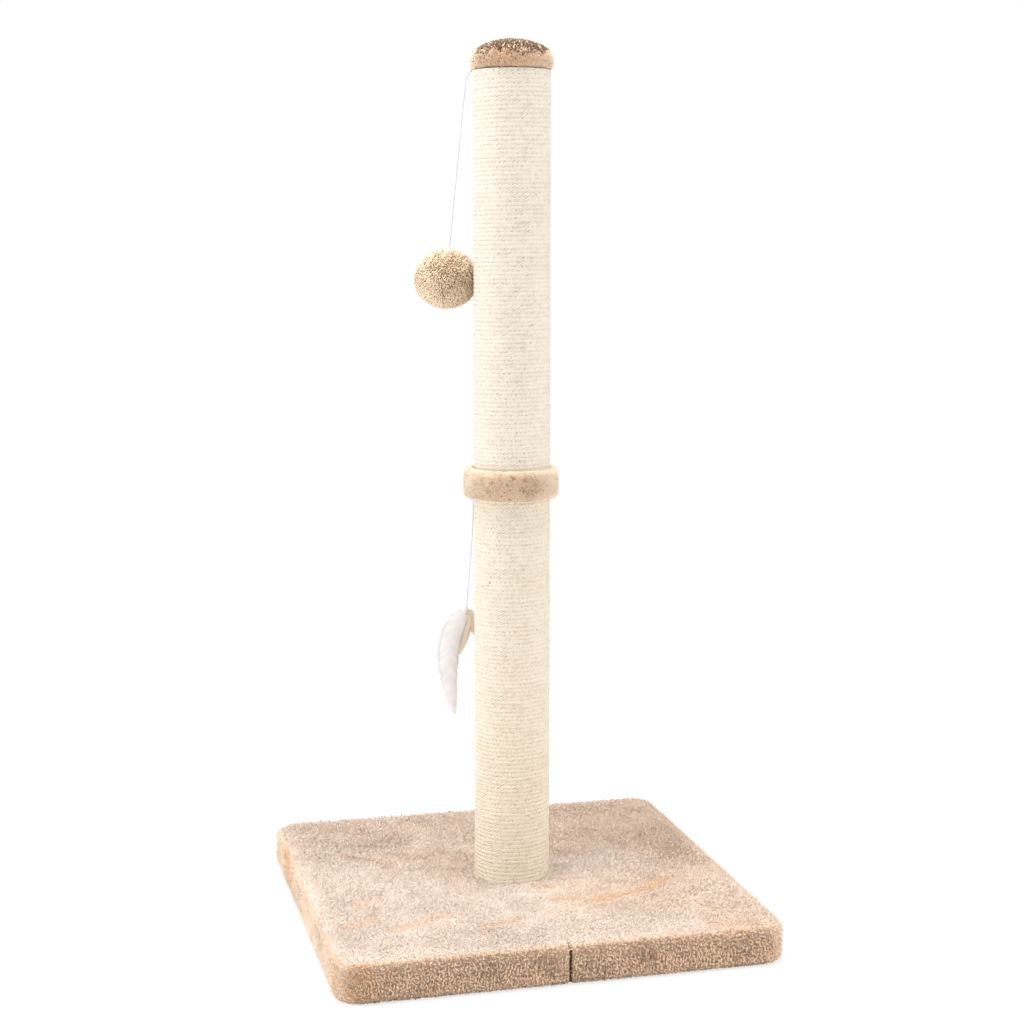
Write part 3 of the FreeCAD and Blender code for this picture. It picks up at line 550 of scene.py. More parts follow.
class Shader(Nodes):
    """A surface material that is being put together."""

    def __init__(self, name: str, constants: dict[str, float | Colour]) -> None:
        """Start a material.

        Args:
            name: its name.
            constants: values set on the surface's own sockets.
        """
        self.material = bpy.data.materials.new(name)
        super().__init__(self.material)
        self.skin = self.tree.nodes.new("ShaderNodeBsdfPrincipled")
        for socket, value in constants.items():
            self.skin.inputs[socket].default_value = value
        self.add("ShaderNodeOutputMaterial", {"Surface": self.skin.outputs[0]})
        self.place = self.add("ShaderNodeTexCoord", {})["Object"]

    def mark(self, name: str) -> Socket:
        """A value that the mesh carries."""
        return self.add("ShaderNodeAttribute", {}, attribute_name=name)["Fac"]

    def mapped(self, kind: str, out: str, settings: dict[str, float],
               **mapping: tuple[float, float, float]) -> Socket:
        """A texture of the object's own space, turned or scaled first.

        Args:
            kind: the type of its node.
            out: the output that is wanted.
            settings: its inputs.
            **mapping: the Scale or the Rotation of the space.

        Returns:
            The wanted output.
        """
        place = self.add("ShaderNodeMapping", {"Vector": self.place, **mapping})[0]
        return self.add(kind, {"Vector": place, **settings})[out]

    def grain(self, size: float, stretch: tuple[float, float, float] = (1.0, 1.0, 1.0),
              detail: float = 2.0) -> Socket:
        """Noise with swells of size millimetres, longer along an axis by its stretch."""
        scale = tuple(1.0 / (size * MM * part) for part in stretch)
        return self.mapped("ShaderNodeTexNoise", "Fac", {"Scale": 1.0, "Detail": detail},
                           Scale=scale)

    def axes(self) -> bpy.types.NodeOutputs:
        """The place as three sockets, along X, Y and Z."""
        return self.add("ShaderNodeSeparateXYZ", {0: self.place})

    def turn(self, axes: bpy.types.NodeOutputs) -> Socket:
        """The angle round the axis of the post."""
        return self.math("ARCTAN2", axes[1], axes[0])

    def blend(self, share: object, first: object, second: object, way: str = "MIX") -> Socket:
        """Two colours mixed, or multiplied with way MULTIPLY."""
        return self.add("ShaderNodeMix", {0: share, 6: first, 7: second}, data_type="RGBA",
                        blend_type=way)[2]

    def layered(self, colour: object, *coats: tuple[Socket, object]) -> object:
        """A colour with others laid over it, each by its share."""
        for share, over in coats:
            colour = self.blend(share, colour, over)
        return colour

    def colour(self, base: object, *coats: tuple[Socket, object]) -> None:
        """Colour the surface with a colour and the coats over it."""
        self.tree.links.new(self.layered(base, *coats), self.skin.inputs["Base Color"])

    def rough(self, source: Socket) -> None:
        """Make the surface as rough as source says."""
        self.tree.links.new(source, self.skin.inputs["Roughness"])

    def bump(self, height: Socket, depth: float, strength: float = 1.0) -> None:
        """Raise the surface by height, depth millimetres high."""
        normal = self.add("ShaderNodeBump", {"Height": height, "Strength": strength,
                                             "Distance": depth * MM})["Normal"]
        self.tree.links.new(normal, self.skin.inputs["Normal"])


@dataclass(frozen=True)
class Finish:
    """A finish in two colours, which makes one material for all the pieces that ask for it."""

    name: str
    pale: Colour
    deep: Colour
    sockets: ClassVar[dict[str, float]] = {}

    @cache
    def material(self) -> bpy.types.Material:
        """The material, made when it is first asked for."""
        shader = Shader(self.name, self.sockets)
        self.dress(shader)
        return shader.material

    def dress(self, shader: Shader) -> None:
        """Give the surface its colour and relief."""
        raise NotImplementedError


@dataclass(frozen=True)
class PlushFinish(Finish):
    """Short soft pile, pale at the tips and deep at the roots, which paints the shade deep in the pile,
    with dark specks where the tone is low; the tone is random and also carries painted shade.
    """

    dark: Colour
    patch: float = 60.0
    spread: float = 0.10
    specks: float = 1.0
    streak: Colour = paint(238, 188, 138)
    sockets = {"Roughness": 0.85, "Sheen Weight": 0.4, "Sheen Roughness": 0.5,
               "Specular IOR Level": 0.2}

    def dress(self, shader: Shader) -> None:
        """Give the surface its colour and relief."""
        shader.skin.inputs["Sheen Tint"].default_value = self.pale
        tone = shader.mark("tone")
        stained = shader.math("MULTIPLY", shader.mark("streak"), 0.85, clamp=True)
        # Painted shade: the deep colour at the roots stands for the shade deep in the pile.
        colour = shader.layered(self.deep, (shader.span(shader.mark("along"), 0.05, 0.72), self.pale),
                                (stained, self.streak))
        patch = shader.span(shader.grain(self.patch), 0.35, 0.65)
        light = shader.math("ADD", shader.math("MULTIPLY", tone, self.spread),
                            shader.math("MULTIPLY", patch, self.spread))
        shade = shader.math("ADD", light, 1.0 - 0.6 * self.spread)
        grey = shader.add("ShaderNodeCombineColor", {0: shade, 1: shade, 2: shade})[0]
        # Dark specks where the tone is low: random mottling, and the painted shade that the pieces put
        # in the tone.
        speck = shader.math("MULTIPLY", shader.span(tone, -0.15, -0.85), self.specks)
        shader.colour(shader.blend(1.0, colour, grey, "MULTIPLY"), (speck, self.dark))
        shader.bump(shader.grain(1.3, detail=3.0), 0.5, 0.5)


@dataclass(frozen=True)
class RopeFinish(Finish):
    """Bleached hard fibre, laid in three strands, with streaks, a few dark bits of husk, and painted
    shade between its turns and strands.

    Args:
        pit_shade: painted shade in the small hollows between the turns and between the strands.
        husk: colour of the bits of husk.
        low: level at which the winding starts.
        pitch: how far it climbs in a turn.
        lay: length in which the strands go once round the rope.
        seam: angle at which the winding starts.
    """

    pit_shade: Colour = paint(150, 124, 86)
    husk: Colour = paint(112, 92, 66)
    low: float = 0.0
    pitch: float = 3.8
    lay: float = 11.3
    seam: float = 1.1
    sockets = {"Roughness": 0.5, "Sheen Weight": 0.1, "Specular IOR Level": 0.5}

    def wound(self, shader: Shader) -> tuple[Socket, Socket, Socket]:
        """The relief of the winding, worked out from the place alone.

        Args:
            shader: the material.

        Returns:
            How far the place stands out of the valley between the turns, and out of the one
            between the strands, both 0 to 1, and how near it is to a hollow of the valley.
        """
        axes = shader.axes()
        angle = shader.math("SUBTRACT", shader.turn(axes), self.seam)
        part = shader.math("FRACT", shader.math("DIVIDE", angle, 2 * math.pi))
        climb = shader.math("MULTIPLY_ADD", axes[2], 1 / (self.pitch * MM), -self.low / self.pitch)
        turn = shader.math("SUBTRACT", climb, part)
        side = shader.math("FRACT", turn)
        wander = shader.grain(7.0, detail=1.0)
        twist = 3 * math.pi * (2 * math.pi * POST_RADIUS) / self.lay

        def strand(start: Socket, lead: object) -> Socket:
            """The strands of the turn start, with their phase ahead by lead."""
            length = shader.math("MULTIPLY", shader.math("ADD", start, part), -twist)
            phase = shader.math("ADD", shader.math("MULTIPLY_ADD", wander, 3.0, length), lead)
            return shader.math("ABSOLUTE", shader.math("COSINE", phase))

        height = shader.math("SINE", shader.math("MULTIPLY", side, math.pi))
        lobe = strand(shader.math("FLOOR", turn), shader.math("MULTIPLY", side, 1.5 * math.pi))
        between = strand(shader.math("FLOOR", shader.math("ADD", turn, 0.5)), 0.0)
        dot = shader.math("MULTIPLY", shader.span(height, 0.3, 0.85, 1.0, 0.0),
                          shader.span(between, 0.1, 0.65, 1.0, 0.0))
        dash = shader.math("MULTIPLY", shader.span(height, 0.4, 1.0, 1.0, 0.45),
                           shader.span(lobe, 0.1, 0.75, 1.0, 0.0))
        hollow = shader.blend(shader.span(shader.grain(9.0, detail=1.0), 0.45, 0.55), dot, dash)
        return height, lobe, hollow

    def dress(self, shader: Shader) -> None:
        """Give the surface its colour and relief."""
        height, lobe, hollow = self.wound(shader)
        # Painted shade: the deep colour where the rope sinks between the turns and between the strands.
        raised = shader.math("MULTIPLY", shader.span(height, 0.0, 0.6, 0.6, 1.0),
                             shader.span(lobe, 0.0, 0.6, 0.2, 1.0))
        fibre = shader.grain(0.45, (12.0, 12.0, 1.0), 3.0)
        age = shader.grain(26.0, (1.6, 1.6, 1.0), 1.0)
        # Patches of the hollows that get the painted pit shade.
        pit_shade_patches = shader.span(shader.grain(3.0, detail=4.0), 0.42, 0.6)
        shader.colour(self.deep, (raised, self.pale),
                      (shader.span(fibre, 0.42, 0.7, 0.0, 0.35), self.deep),
                      (shader.span(age, 0.5, 0.8, 0.0, 0.22), self.deep),
                      (shader.math("MULTIPLY", hollow, pit_shade_patches), self.pit_shade),
                      (shader.span(shader.mark("tone"), -0.4, -0.9), self.husk))
        relief = shader.math("ADD", shader.math("MULTIPLY", height, lobe),
                             shader.math("MULTIPLY", fibre, 0.4))
        shader.bump(relief, 0.55, 0.7)


@dataclass(frozen=True)
class CordFinish(Finish):
    """Thin braided cord, with painted shade in the grooves of its braid."""

    sockets = {"Roughness": 0.6, "Sheen Weight": 0.2}

    def dress(self, shader: Shader) -> None:
        """Give the surface its colour and relief."""
        waves = [shader.mapped("ShaderNodeTexWave", "Fac", {"Scale": 420.0, "Distortion": 0.6},
                               Rotation=(turn, turn, 0.0)) for turn in (0.7, -0.7)]
        braid = shader.math("MAXIMUM", *waves)
        # Painted shade: the deep colour in the grooves of the braid.
        shader.colour(self.deep, (braid, self.pale))
        shader.bump(braid, 0.15, 0.5)


@dataclass(frozen=True)
class FeatherFinish(Finish):
    """Down and barbs, deeper towards the quill and along streaks, which is painted shade between the
    barbs.
    """

    sockets = {"Roughness": 0.7, "Sheen Weight": 0.35, "Sheen Roughness": 0.35,
               "Specular IOR Level": 0.3}

    def dress(self, shader: Shader) -> None:
        """Give the surface its colour and relief."""
        drift = shader.grain(14.0, detail=1.0)
        # Painted shade: the deep colour towards the quill and along the streaks.
        shader.colour(self.deep, (shader.span(shader.mark("along"), 0.0, 0.6), self.pale),
                      (shader.span(shader.mark("tone"), 0.8, -0.8, 0.0, 0.55), self.deep),
                      (shader.span(drift, 0.45, 0.7, 0.0, 0.25), self.deep))
        shader.bump(shader.grain(0.8, detail=3.0), 0.2, 0.4)


@dataclass(frozen=True)
class ThreadFinish(Finish):
    """Tightly wound sewing thread, with painted shade between its turns."""

    sockets = {"Roughness": 0.55, "Sheen Weight": 0.3}

    def dress(self, shader: Shader) -> None:
        """Give the surface its colour and relief."""
        fuzz = shader.grain(0.3)
        # Painted shade: the deep colour where the thread sinks between its turns.
        shader.colour(self.deep, (shader.span(shader.mark("height"), 0.1, 0.8), self.pale),
                      (shader.span(fuzz, 0.5, 0.8, 0.0, 0.3), self.deep))
        shader.bump(fuzz, 0.05, 0.5)


@dataclass(frozen=True)
class WoodFinish(Finish):
    """Turned wood, its grain along Z."""

    sockets = {"Roughness": 0.6}

    def dress(self, shader: Shader) -> None:
        """Give the surface its colour and relief."""
        bent = shader.math("ADD", shader.math("MULTIPLY", shader.grain(24.0, (1, 1, 6)), 9.0),
                           shader.math("MULTIPLY", shader.grain(0.6, (1, 1, 14)), 0.7))
        year = shader.math("FRACT", bent)
        shader.colour(self.pale, (shader.span(year, 0.3, 1.0), self.deep))
        shader.rough(shader.span(year, 0.0, 1.0, 0.7, 0.5))
        shader.bump(year, 0.1, 0.4)


@dataclass(frozen=True)
class ChipboardFinish(Finish):
    """Pressed chips of wood in glue."""

    sockets = {"Roughness": 0.85}

    def dress(self, shader: Shader) -> None:
        """Give the surface its colour and relief."""
        chips = shader.mapped("ShaderNodeTexVoronoi", "Color", {"Scale": 1.0},
                              Scale=(320.0, 520.0, 620.0))
        one = shader.add("ShaderNodeSeparateColor", {0: chips})[0]
        dust = shader.grain(0.7, detail=3.0)
        shader.colour(self.pale, (shader.span(one, 0.2, 0.9), self.deep),
                      (shader.span(dust, 0.4, 0.8, 0.0, 0.5), self.pale))
        shader.bump(shader.math("ADD", one, dust), 0.15, 0.5)


@dataclass(frozen=True)
class CardboardFinish(Finish):
    """Paper tube, wound in a spiral of strips."""

    strip: float = 90.0
    sockets = {"Roughness": 0.9}

    def dress(self, shader: Shader) -> None:
        """Give the surface its colour and relief."""
        axes = shader.axes()
        angle = shader.math("DIVIDE", shader.turn(axes), 2 * math.pi)
        climb = shader.math("DIVIDE", axes[2], self.strip * MM)
        lap = shader.math("FRACT", shader.math("ADD", climb, angle))
        fibre = shader.grain(0.5, (3, 3, 1), 3.0)
        shader.colour(self.pale, (shader.span(fibre, 0.3, 0.8, 0.0, 0.4), self.deep),
                      (shader.span(lap, 0.03, 0.0, 0.0, 0.8), self.deep))
        shader.bump(shader.math("ADD", fibre, shader.span(lap, 0.0, 0.02)), 0.2, 0.4)


@dataclass(frozen=True)
class SteelFinish(Finish):
    """Zinc-plated steel with a dull bloom."""

    sockets = {"Metallic": 1.0}

    def dress(self, shader: Shader) -> None:
        """Give the surface its colour and relief."""
        bloom = shader.grain(2.4, detail=4.0)
        shader.colour(self.pale, (shader.span(bloom, 0.35, 0.7), self.deep))
        shader.rough(shader.span(bloom, 0.3, 0.8, 0.28, 0.5))
        shader.bump(shader.grain(0.25), 0.02, 0.4)


@dataclass(frozen=True)
class LiningFinish(Finish):
    """Thin bonded cloth with a grid of pressed dots."""

    pitch: float = 1.6
    sockets = {"Roughness": 0.75}

    def dress(self, shader: Shader) -> None:
        """Give the surface its colour and relief."""
        step = 2 * math.pi / (self.pitch * MM)
        waves = [shader.math("SINE", shader.math("MULTIPLY", axis, step))
                 for axis in shader.axes()[:2]]
        dots = shader.span(shader.math("MULTIPLY", *waves), 0.35, 0.6)
        fibre = shader.grain(0.35, (5, 1, 1), 3.0)
        shader.colour(self.pale, (shader.span(fibre, 0.4, 0.8, 0.0, 0.4), self.deep),
                      (dots, self.deep))
        shader.bump(shader.math("SUBTRACT", fibre, dots), 0.12, 0.6)


@dataclass(frozen=True)
class WaddingFinish(Finish):
    """Foam or fibre fill, open and matt, with painted shade in its pores."""

    sockets = {"Roughness": 0.95}

    def dress(self, shader: Shader) -> None:
        """Give the surface its colour and relief."""
        cells = shader.mapped("ShaderNodeTexVoronoi", "Distance", {"Scale": 1.0},
                              Scale=(900.0, 900.0, 900.0))
        # Painted shade: the deep colour in the pores of the cells.
        shader.colour(self.deep, (shader.span(cells, 0.1, 0.6), self.pale))
        shader.bump(cells, 0.3, 0.6)


BASE_PLUSH = PlushFinish("base_plush", paint(255, 239, 225), paint(249, 223, 201),
                         paint(196, 166, 142), patch=70.0, specks=0.6)
# Painted shade: the edges' plush is a darker, warmer copy of the top's, for the shade that the edges
# take.
SHADED_EDGE_PLUSH = PlushFinish("edge_plush", paint(255, 232, 210), paint(240, 200, 160),
                         paint(136, 94, 52), patch=34.0, specks=0.8)
# Its dark colour is painted shade, where the cloth's tone is low: in the seam and on the front and back.
BASE_GROUND = PlushFinish("base_ground", paint(250, 226, 206), paint(247, 219, 195),
                          paint(80, 56, 38), spread=0.14)
CAP_PLUSH = PlushFinish("cap_plush", paint(255, 228, 200), paint(255, 210, 170),
                        paint(98, 72, 54), patch=22.0)
COLLAR_PLUSH = PlushFinish("collar_plush", paint(255, 236, 210), paint(255, 218, 182),
                           paint(176, 124, 72), patch=22.0, specks=0.9)
BALL_PLUSH = PlushFinish("ball_plush", paint(255, 234, 204), paint(255, 216, 174),
                         paint(164, 116, 64), patch=16.0, specks=0.8)
UPPER_ROPE = RopeFinish("upper_rope", paint(238, 230, 219), paint(224, 207, 180))
LOWER_ROPE = RopeFinish("lower_rope", paint(238, 229, 214), paint(222, 204, 174))
WHITE_CORD = CordFinish("white_cord", paint(238, 238, 246), paint(196, 198, 220))
WHITE_FEATHER = FeatherFinish("white_feather", paint(240, 237, 236), paint(216, 212, 216))
# Painted shade: the feathers behind the large one are white, coloured buff for the shade that they lie
# in beside the post.
SHADED_FEATHER = FeatherFinish("buff_feather", paint(248, 240, 228), paint(226, 212, 190))
THREAD = ThreadFinish("binding_thread", paint(232, 226, 214), paint(170, 160, 144))

CAD_FINISHES: dict[Finish, tuple[str, ...]] = {
    ChipboardFinish("particle_board", paint(214, 184, 140), paint(158, 116, 72)): (
        "base_board", "cap_board"),
    LiningFinish("bonded_lining", paint(74, 72, 70), paint(48, 47, 46)): ("base_lining",),
    SteelFinish("zinc_steel", paint(206, 208, 212), paint(150, 154, 160)): (
        "base_staples", "base_bolt", "base_washer", "lower_foot_tee_nut", "lower_head_tee_nut",
        "upper_foot_tee_nut", "joining_stud", "plug_brads", "cap_dowel_screw", "cord_staples"),
    WoodFinish("pale_wood", paint(214, 180, 134), paint(176, 134, 88)): (
        "lower_foot_plug", "lower_head_plug", "upper_foot_plug", "upper_head_plug"),
    CardboardFinish("cardboard", paint(182, 150, 112), paint(128, 100, 70)): (
        "lower_post_tube", "upper_post_tube"),
    WaddingFinish("wadding", paint(236, 230, 214), paint(196, 186, 160)): (
        "cap_wadding", "collar_foam", "ball_core"),
    WHITE_CORD: ("ball_cord_tail", "feather_cord_tail"),
}


def finish_cad_nodes() -> None:
    """Give each CAD piece that stays in the scene its finish."""
    for finish, names in CAD_FINISHES.items():
        for name in names:
            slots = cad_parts[name].data.materials
            slots.clear()
            slots.append(finish.material())
            log.info("%s keeps its solid, finished in %s", name, finish.name)


# ---------------------------------------------------------------------------
# Base
# ---------------------------------------------------------------------------
def square_reach(half: float, corner: float, angles: np.ndarray) -> np.ndarray:
    """How far a rounded square reaches from its middle.

    Args:
        half: half its side.
        corner: radius of its corners, half for a circle.
        angles: the directions.

    Returns:
        The distance along each direction.
    """
    across, up = np.abs(np.cos(angles)), np.abs(np.sin(angles))
    flat = half / np.maximum(across, up)
    centre = half - corner
    middle = centre * (across + up)
    arc = middle + np.sqrt(np.maximum(middle ** 2 - 2 * centre ** 2 + corner ** 2, 0.0))
    return np.where(np.minimum(across, up) * flat <= centre, flat, arc)


@dataclass(frozen=True)
class BrushStroke:
    """A line along which the pile of the base is pushed over.

    Args:
        start: where it begins, x and y.
        end: where it ends.
        width: half its width.
        push: how far the tufts lean along it.
        tone: how much darker they are, a painted shade of the pushed-over pile.
        stain: how much of their deeper colour shows, 0 to 1.
    """

    start: tuple[float, float]
    end: tuple[float, float]
    width: float
    push: float
    tone: float
    stain: float

    def share(self, places: np.ndarray) -> np.ndarray:
        """How much of the stroke each place feels, 0 to 1."""
        first, along = np.array(self.start), np.array(self.end) - np.array(self.start)
        part = np.clip((places - first) @ along / (along @ along), 0.0, 1.0)
        away = np.linalg.norm(places - first - part[:, None] * along, axis=1)
        return 1.0 - ease(away, 0.3 * self.width, self.width)

    def heading(self) -> np.ndarray:
        """Its direction."""
        return unit(np.array(self.end) - np.array(self.start))


@dataclass
class PlushBase:
    """The plush cover of the base board: its cloth, and the pile on it."""

    board_half: float = 194.0
    board_low: float = 2.0
    board_high: float = 30.0
    board_corner: float = 17.0
    cloth: float = 4.0
    pile_height: float = 1.9
    shoulder: float = 7.4
    heel: float = 4.4
    border: float = 46.0
    underside: float = 0.3
    bolt_hole: float = 4.4
    post_room: float = 36.0
    spacing: float = 4.0
    lump: float = 0.8
    seam_x: float = 1.3
    seam_depth: float = 3.2
    top_spacing: float = 1.3
    side_spacing: float = 1.4
    third: float = 66.0
    front_face: float = -185.0
    plush: float = 6.0
    strokes: tuple[BrushStroke, ...] = (
        BrushStroke((-150.0, 86.0), (-110.0, 47.0), 5.0, 0.55, 0.1, 0.6),
        BrushStroke((-102.0, 76.0), (-72.0, 55.0), 5.0, 0.6, 0.3, 0.5),
        BrushStroke((-64.0, -140.0), (-26.0, -127.0), 7.0, 0.5, 0.0, 0.7),
        BrushStroke((-104.0, -106.0), (-88.0, -107.0), 8.0, 0.4, 0.0, 0.6),
        BrushStroke((-138.0, -126.0), (-108.0, -116.0), 9.0, 0.4, 0.0, 0.55),
        BrushStroke((-174.0, -112.0), (-150.0, -95.0), 10.0, 0.4, 0.0, 0.6),
        BrushStroke((9.0, -49.0), (22.0, -52.0), 7.0, 0.5, 0.1, 0.8),
        BrushStroke((16.0, -87.0), (42.0, -92.0), 8.0, 0.5, 0.0, 0.75),
        BrushStroke((52.0, -98.0), (104.0, -80.0), 11.0, 0.6, 0.0, 1.0),
        BrushStroke((104.0, -80.0), (132.0, -56.0), 13.0, 0.6, 0.0, 1.0),
        BrushStroke((136.0, -66.0), (192.0, -40.0), 22.0, 0.4, 0.2, 0.35),
        BrushStroke((136.0, -178.0), (170.0, -186.0), 14.0, 0.3, 0.0, 0.6),
        BrushStroke((-157.0, -59.0), (-134.0, -44.0), 12.0, 0.3, 0.2, 0.3),
    )

    def columns(self) -> np.ndarray:
        """The directions of the columns of points, even along the edge, with five at the seam."""
        fine = np.linspace(-np.pi, np.pi, 20001)
        reach = square_reach(self.board_half, self.board_corner, fine)
        edge = np.stack([np.cos(fine), np.sin(fine)], axis=1) * reach[:, None]
        along = np.concatenate([[0.0], np.cumsum(np.linalg.norm(np.diff(edge, axis=0), axis=1))])
        even = np.interp(np.arange(0.0, along[-1] - 1.0, self.spacing), along, fine)
        seam = np.arctan2(-self.board_half, self.seam_x + np.array([-1.7, -0.7, 0.0, 0.7, 1.7]))
        apart = np.abs(even - seam[2]) > 2.6 / self.board_half
        return np.sort(np.concatenate([even[apart], seam]))

    def cloth_surface(self) -> tuple[Surface, dict[str, tuple[int, int]]]:
        """The cloth, as one closed skin round the board.

        Returns:
            The surface, and the first and last ring of its top, sides and border.
        """
        angles = self.columns()
        top = self.board_high + self.cloth
        out = self.board_half + self.cloth
        corner = self.board_corner + self.cloth
        flat, flat_corner = out - self.shoulder, corner - self.shoulder
        circle = np.full(len(angles), 1.0)
        edge = square_reach(flat, flat_corner, angles)
        rings: list[tuple[np.ndarray, float]] = [(circle * self.bolt_hole, top), (circle * 20, top)]
        zones = {}

        def ring(half: float, round_part: float, level: float) -> None:
            """Add a rounded square, half its side out, at a level."""
            rings.append((square_reach(half, round_part, angles), level))

        begin = len(rings)
        for share in np.linspace(0.0, 1.0, 48):
            rings.append((circle * self.post_room * (1 - share) + edge * share, top))
        for turn in np.linspace(0.0, math.pi / 2, 7)[1:]:
            half = flat + self.shoulder * math.sin(turn)
            ring(half, flat_corner + half - flat, top - self.shoulder * (1 - math.cos(turn)))
            if turn < 0.2 * math.pi:
                zones["top"] = (begin, len(rings) - 1)
        begin = zones["top"][1]
        for level in np.linspace(top - self.shoulder, self.underside + self.heel, 7)[1:]:
            ring(out, corner, level)
        for turn in np.linspace(0.0, math.pi / 2, 4)[1:]:
            half = out - self.heel * (1 - math.cos(turn))
            ring(half, corner - out + half, self.underside + self.heel * (1 - math.sin(turn)))
        zones["sides"] = (begin, len(rings) - 1)
        begin = len(rings) - 1
        inner = out - self.border
        for half in np.linspace(out - self.heel, inner, 9)[1:]:
            ring(half, max(corner + half - out, 2.0), self.underside)
        zones["border"] = (begin, len(rings) - 1)
        low, high, wide = self.board_low - 0.05, self.board_high + 0.05, self.board_half + 0.05
        ring(inner - 0.6, 2.0, (self.underside + low) / 2)
        ring(inner, 2.0, low)
        ring(wide, self.board_corner, low)
        ring(wide, self.board_corner, high)
        rings.append((circle * self.post_room, high))
        rings.append((circle * self.bolt_hole, high))
        reach = np.array([row[0] for row in rings])
        levels = np.repeat([[row[1]] for row in rings], len(angles), axis=1)
        points = np.stack([reach * np.cos(angles), reach * np.sin(angles), levels], axis=-1)
        self.shape_cloth(points, zones)
        outward = ring_faces(len(rings), len(angles), True)[:, ::-1]
        first, last = zones["sides"]
        # Painted shade: the cloth of the front and back edges is darker, and the seam darkest.
        shade = np.zeros(points.shape[:2])
        shade[first + 1:last] = -0.45 * ease(np.abs(np.sin(angles)), 0.65, 0.75)
        at_seam = np.abs(points[..., 0] - self.seam_x) < 1.2
        shade[at_seam & (points[..., 1] < self.front_face)] = -1.0
        return Surface(points.reshape(-1, 3), outward, marks={"tone": shade.ravel()}), zones

    def shape_cloth(self, points: np.ndarray, zones: dict[str, tuple[int, int]]) -> None:
        """Give the cloth its low lumps, its seam and the pleats of its folded corners.

        Args:
            points: ring by ring, changed in place.
            zones: the first and last ring of the top, sides and border.
        """
        first, last = zones["top"]
        top = points[first:last + 1]
        away = np.linalg.norm(top[..., :2], axis=-1)
        calm = ease(away, 40.0, 70.0) * (1 - ease(np.abs(top[..., :2]).max(-1), 170.0, 192.0))
        swell = (waver(top.reshape(-1, 3), 48.0, 3) + 0.5 * waver(top.reshape(-1, 3), 21.0, 4))
        top[..., 2] += np.maximum(swell.reshape(away.shape), -0.7) * self.lump * calm
        first, last = zones["top"][1], zones["border"][0] + 1
        side = points[first - 2:last + 1]
        slit = np.exp(-((side[..., 0] - self.seam_x) / 0.9) ** 2) * (side[..., 1] < -180.0)
        side[..., 1] += self.seam_depth * 0.7 * slit
        first, last = zones["border"]
        under = points[first + 1:last]
        corner = ease(np.abs(under[..., :2]).min(-1), 130.0, 165.0)
        turn = np.arctan2(under[..., 1], under[..., 0])
        under[..., 2] += corner * 0.5 * (1 + np.sin(turn * 210.0))

    def rings_of(self, cloth: Surface, zone: tuple[int, int]) -> Surface:
        """The part of the cloth between two rings."""
        columns = len(self.columns())
        return Surface(cloth.points, cloth.quads[zone[0] * columns:zone[1] * columns])

    def top_pile(self, cloth: Surface, zone: tuple[int, int]) -> Pile:
        """The pile on top: it leans in slow swirls, and along the brush strokes.

        Args:
            cloth: the whole cloth.
            zone: the rings of the top.

        Returns:
            The tufts.
        """
        roots, normals = scatter(self.rings_of(cloth, zone), self.top_spacing, 11)
        draw = np.random.default_rng(12)
        count = len(roots)
        course = -1.1 + 0.9 * waver(roots, 62.0, 5) + 0.5 * waver(roots, 17.0, 6)
        slant = 0.42 + 0.16 * waver(roots, 30.0, 7)
        lean = np.stack([np.cos(course), np.sin(course)], axis=1) * slant[:, None]
        tones = 0.33 * draw.standard_normal(count) + 0.3 * waver(roots, 9.0, 8)
        # Painted shade: the tufts are darker towards the back, where the lean of the pile takes less
        # light; they are also darker towards the right.
        tones += 0.15 - 0.95 * ease(roots[:, 1] + 0.15 * roots[:, 0], -80.0, 150.0)
        tones -= 0.45 * ease(roots[:, 0], 30.0, 190.0)
        lengths = self.pile_height * (1.12 + 0.13 * draw.standard_normal(count))
        rim = ease(np.abs(roots[:, :2]).max(1), 182.0, 192.0)[:, None]
        lean = lean * (1 - 0.8 * rim) + 0.45 * rim * normals[:, :2] / 0.3
        streaks = 0.3 * ease(waver(roots, 55.0, 19) + roots[:, 0] / 240.0, -0.2, 1.0)
        for stroke in self.strokes:
            share = stroke.share(roots[:, :2] + 2.6 * draw.standard_normal((count, 2)))
            lean += stroke.heading() * (stroke.push * share)[:, None]
            # Painted shade along the stroke, where the pile is pushed over.
            tones -= stroke.tone * share
            streaks = np.maximum(streaks, stroke.stain * share)
            lengths *= 1 - 0.18 * share
        away = np.linalg.norm(roots[:, :2], axis=1)
        crush = 1 - ease(away, self.post_room, self.post_room + 5.0)
        lean += roots[:, :2] / away[:, None] * (0.5 * crush)[:, None]
        bends = np.column_stack([lean, np.zeros(count)]) + 0.16 * draw.standard_normal((count, 3))
        bends[:, 2] -= 0.12
        facings = normals + 0.5 * np.column_stack([lean, np.zeros(count)])
        return Pile(roots, normals + 0.1 * draw.standard_normal((count, 3)), bends,
                    np.clip(lengths, 1.3, 2.9), 0.62 + 0.09 * draw.standard_normal(count),
                    np.clip(tones, -1.0, 1.0), facings, streaks, Strand.BUD, 13)

